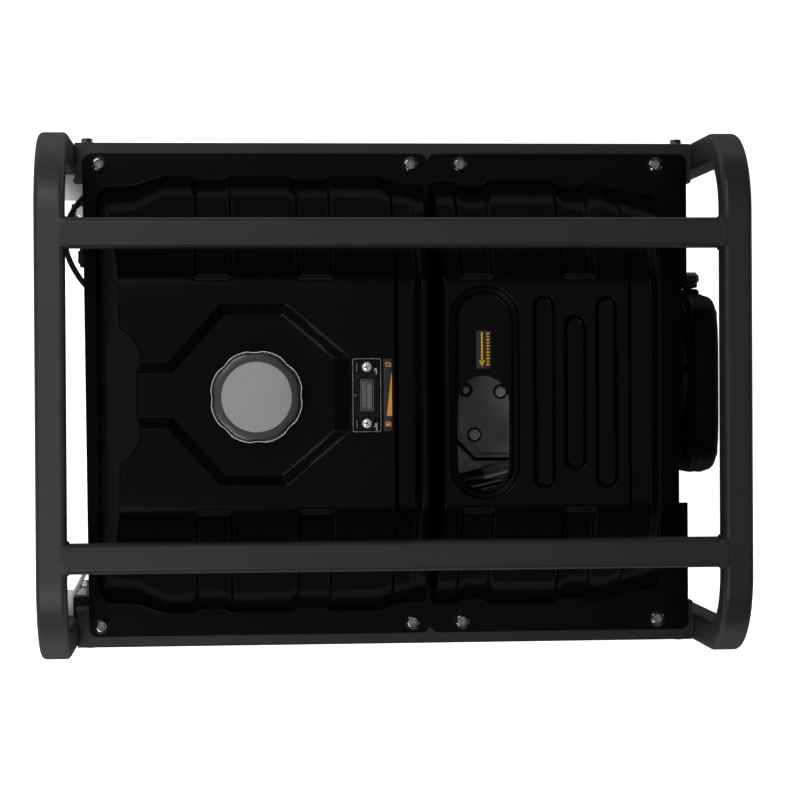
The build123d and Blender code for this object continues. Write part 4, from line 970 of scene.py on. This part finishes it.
# second run: alternator to the control box
lp.add(*tube_path(smooth_pts([(-250, -75.5, 240), (-250, -95, 240), (-250, -109, 246), (-250, -115, 262), (-250, -115, 340), (-250, -121, 356), (-250, -135, 360), (-250, -149.6, 360)], 10), 5.0, 20), 0)
lp.out("lead_loop", [M["rubber"], M["panel"], M["silver"], M["galv"]], replaces=("alternator_cable",), slot="rubber_black")

# ------------------------------------------------------------------ fittings on the engine, alternator and panel
def cap_screw(mesh, x, y, z, axis, r=4.6, h=4.4, mi=0):
    vs, fs = lathe([(0, 0), (r * 1.5, 0), (r * 1.5, 0.8), (r * 1.35, 1.2), (r, 1.3), (r, h - 0.7), (r - 0.7, h), (r * 0.55, h), (r * 0.5, h - 1.8), (0, h - 1.9)], 32, (x, y, z), axis,
                   radial=lambda t, q, k: hexring(r * 1.72)(t, q, k) if 1.25 < k < h - 0.3 and q > r * 0.9 else q)
    mesh.add(vs, fs, mi)


ft = Mesh()
# rear cover plate of the crankcase
ft.add(*rbox(34.0, 188.0, 120.6, 126.0, 128.0, 276.0, 5.0, 4), 0)
for x in (44.0, 111.0, 178.0):
    for z in (138.0, 266.0):
        cap_screw(ft, x, 126.0, z, "y", mi=1)
for z in (202.0,):
    for x in (44.0, 178.0):
        cap_screw(ft, x, 126.0, z, "y", mi=1)
for z in (160.0, 181.0, 223.0, 244.0):
    ft.add(*rbox(60.0, 162.0, 125.0, 128.2, z - 2.2, z + 2.2, 1.8, 3), 0)
for x in (30.0, 75.0, 120.0, 165.0, 195.0):
    cap_screw(ft, x, 123.5, 92.2, "z", r=3.6, mi=1)
# screws round the alternator end cover and its band
for i in range(8):
    a = 2 * math.pi * (i + 0.5) / 8
    cap_screw(ft, -276.0 if i % 2 else -276.0, 17.0 + 68 * math.cos(a), 240 + 68 * math.sin(a), "-x", r=3.2, h=3.6, mi=1)
ft.out("engine_fittings", [M["alloy"], M["silver"]], slot="alloy_cast", angle=30)

pn = Mesh()
PY = -232.0
for x in (-283.0, -145.0, -7.0):
    for z in (308.0, 416.0):
        vs, fs = lathe([(0, 0), (3.8, 0), (3.7, 0.9), (3.0, 1.6), (0, 1.9)], 28, (x, PY, z), "-y")
        pn.add(vs, fs, 1)
        # Dark bar across each screw head: painted shade of the screw slot.
        pn.add(*rbox(x - 2.0, x + 2.0, PY - 2.1, PY - 1.6, z - 0.4, z + 0.4, 0.1), 0)
for x0, x1, z0, z1 in ((-288, -2, 302, 303.6), (-288, -2, 420.4, 422), (-288, -286.4, 302, 422), (-3.6, -2, 302, 422)):
    pn.add(*rbox(x0, x1, PY - 1.0, PY + 0.4, z0, z1, 0.5), 2)
for k in range(9):
    z = 330.0 + k * 5.6
    pn.add(*rbox(-62.0, -48.0, PY - 0.7, PY + 0.4, z - 1.0, z + 1.0, 0.5), 0)
pn.out("panel_fittings", [M["plastic"], M["silver"], M["panel"]], slot="panel_grey", angle=30)

ms = Mesh()
for x in (-34.0, 7.0, 48.0):
    ms.add(*rbox(x - 2.0, x + 2.0, 94.8, 197.2, 318.8, 419.2, 1.6, 3), 0)
ms.out("muffler_bands", [M["iron"]], slot="engine_black", angle=30)

# ------------------------------------------------------------------ weld beads
wl = Mesh()


def weld(mesh, pts, r=2.2, step=2.2):
    """A rippled fillet bead along a polyline."""
    P = [np.array(p, float) for p in pts]
    out, rad = [], []
    for a, c in zip(P, P[1:]):
        L = np.linalg.norm(c - a)
        k = max(2, int(L / (step / 4)))
        for i in range(k):
            t = i / k
            out.append(a + (c - a) * t)
    out.append(P[-1])
    s = 0.0
    for i, p in enumerate(out):
        if i:
            s += np.linalg.norm(out[i] - out[i - 1])
        e = min(1.0, (i + 0.5) / 6, (len(out) - i - 0.5) / 6)
        rad.append(r * (0.86 + 0.14 * abs(math.sin(math.pi * s / step))) * (0.35 + 0.65 * e) * (1 + 0.06 * rng.standard_normal()))
    mesh.add(*tube_path(out, rad, 10))


for y in (-152.0, 152.0):
    for sx in (-1, 1):
        x = sx * 310.0
        for s in (-1, 1):
            weld(wl, [(x, y + s * 14, 625), (x, y + s * 14, 646)], 2.4)
        weld(wl, [(x, y - 12, 622), (x, y + 12, 622)], 2.0)
for s in (-1, 1):
    for sx in (-1, 1):
        x = sx * 310.0
        weld(wl, [(x, s * 214, 492), (x, s * 214, 469)], 1.8)
        weld(wl, [(x, s * 226, 492.2), (x, s * 249, 492.2)], 1.8)
        weld(wl, [(x, s * 226, 40.2), (x, s * 249, 40.2)], 2.0)
        weld(wl, [(x, s * 225.2, 15), (x, s * 225.2, 37)], 2.0)
for x in (-215.0, 35.0, 190.0):
    for s in (-1, 1):
        for t in (-1, 1):
            weld(wl, [(x + t * 14, s * 225, 15), (x + t * 14, s * 225, 37)], 2.0)
        weld(wl, [(x - 12, s * 225, 40.1), (x + 12, s * 225, 40.1)], 2.0)
for y in (-152.0, 152.0):
    for sx in (-1, 1):
        x = sx * 311.5
        wl.add(*rbox(x - 5.5, x + 5.5, y - 13.2, y + 13.2, 644.0, 649.97, 0.4))
wl.out("frame_welds", [M["weld"]], slot="frame_paint", angle=80)

# ------------------------------------------------------------------ stage
me = bpy.data.meshes.new("floor")
me.from_pydata([(-8, -8, 0), (8, -8, 0), (8, 8, 0), (-8, 8, 0)], [], [(0, 1, 2, 3)])
floor = bpy.data.objects.new("floor", me)
bpy.context.scene.collection.objects.link(floor)
fm, nt, bs = new_mat("floor_pale")
v = tex_coord(nt)
nt.links.new(ramp(nt, noise(nt, v, 3.0), [(0.3, (0.9, 0.9, 0.9)), (0.7, (0.93, 0.93, 0.93))]), bs.inputs["Base Color"])
bs.inputs["Roughness"].default_value = 0.9
bs.inputs["Specular IOR Level"].default_value = 0.0
bs.inputs["Emission Color"].default_value = (1, 1, 1, 1)
bs.inputs["Emission Strength"].default_value = 0.98
me.materials.append(fm)


def area(name, loc, target, size, power, col=(1, 1, 1)):
    l = bpy.data.lights.new(name, "AREA")
    l.energy = power
    l.shape = "RECTANGLE"
    l.size, l.size_y = size
    l.color = col
    o = bpy.data.objects.new(name, l)
    bpy.context.scene.collection.objects.link(o)
    o.location = loc
    d = Vector(target) - Vector(loc)
    o.rotation_euler = d.to_track_quat("-Z", "Y").to_euler()
    return o


area("key_over_front", (-1.05, -1.3, 3.0), (0, 0, 0.5), (1.1, 0.9), 29)
area("key_over_back", (-1.05, 1.3, 3.0), (0, 0, 0.5), (1.1, 0.9), 29)
area("over_wide", (-0.1, 0.0, 3.6), (-0.1, 0, 0), (2.4, 2.4), 12)
area("strip_front", (-0.2, -2.6, 0.52), (-0.1, 0, 0.52), (4.0, 0.5), 12)
area("strip_back", (-0.2, 2.6, 0.52), (-0.1, 0, 0.52), (4.0, 0.5), 12)
area("strip_right", (2.6, 0.0, 0.6), (0, 0, 0.55), (3.0, 0.5), 9)
area("strip_left", (-2.8, 0.0, 0.6), (0, 0, 0.5), (3.0, 0.5), 1.5)
w = bpy.data.worlds.new("studio")
bpy.context.scene.world = w
w.use_nodes = True
w.node_tree.nodes["Background"].inputs["Color"].default_value = (1, 1, 1, 1)
w.node_tree.nodes["Background"].inputs["Strength"].default_value = 0.03

# ------------------------------------------------------------------ camera over the left part, looking almost straight down
cam = bpy.data.cameras.new("cam")
co = bpy.data.objects.new("cam", cam)
bpy.context.scene.collection.objects.link(co)
cam.sensor_width = 36.0
cam.lens = 36.0 * 2274.7303 / 800.0
cam.clip_end = 50
rx, ry, rz = -0.007077037, -0.074695743, -0.005847349
R = Matrix.Rotation(rz, 4, "Z") @ Matrix.Rotation(ry, 4, "Y") @ Matrix.Rotation(rx, 4, "X")
co.matrix_world = Matrix.Translation(Vector(W(-157.1554, 10.6037, 2775.2148))) @ R
bpy.context.scene.camera = co
bpy.context.scene.view_settings.view_transform = "Standard"

bpy.context.view_layer.update()
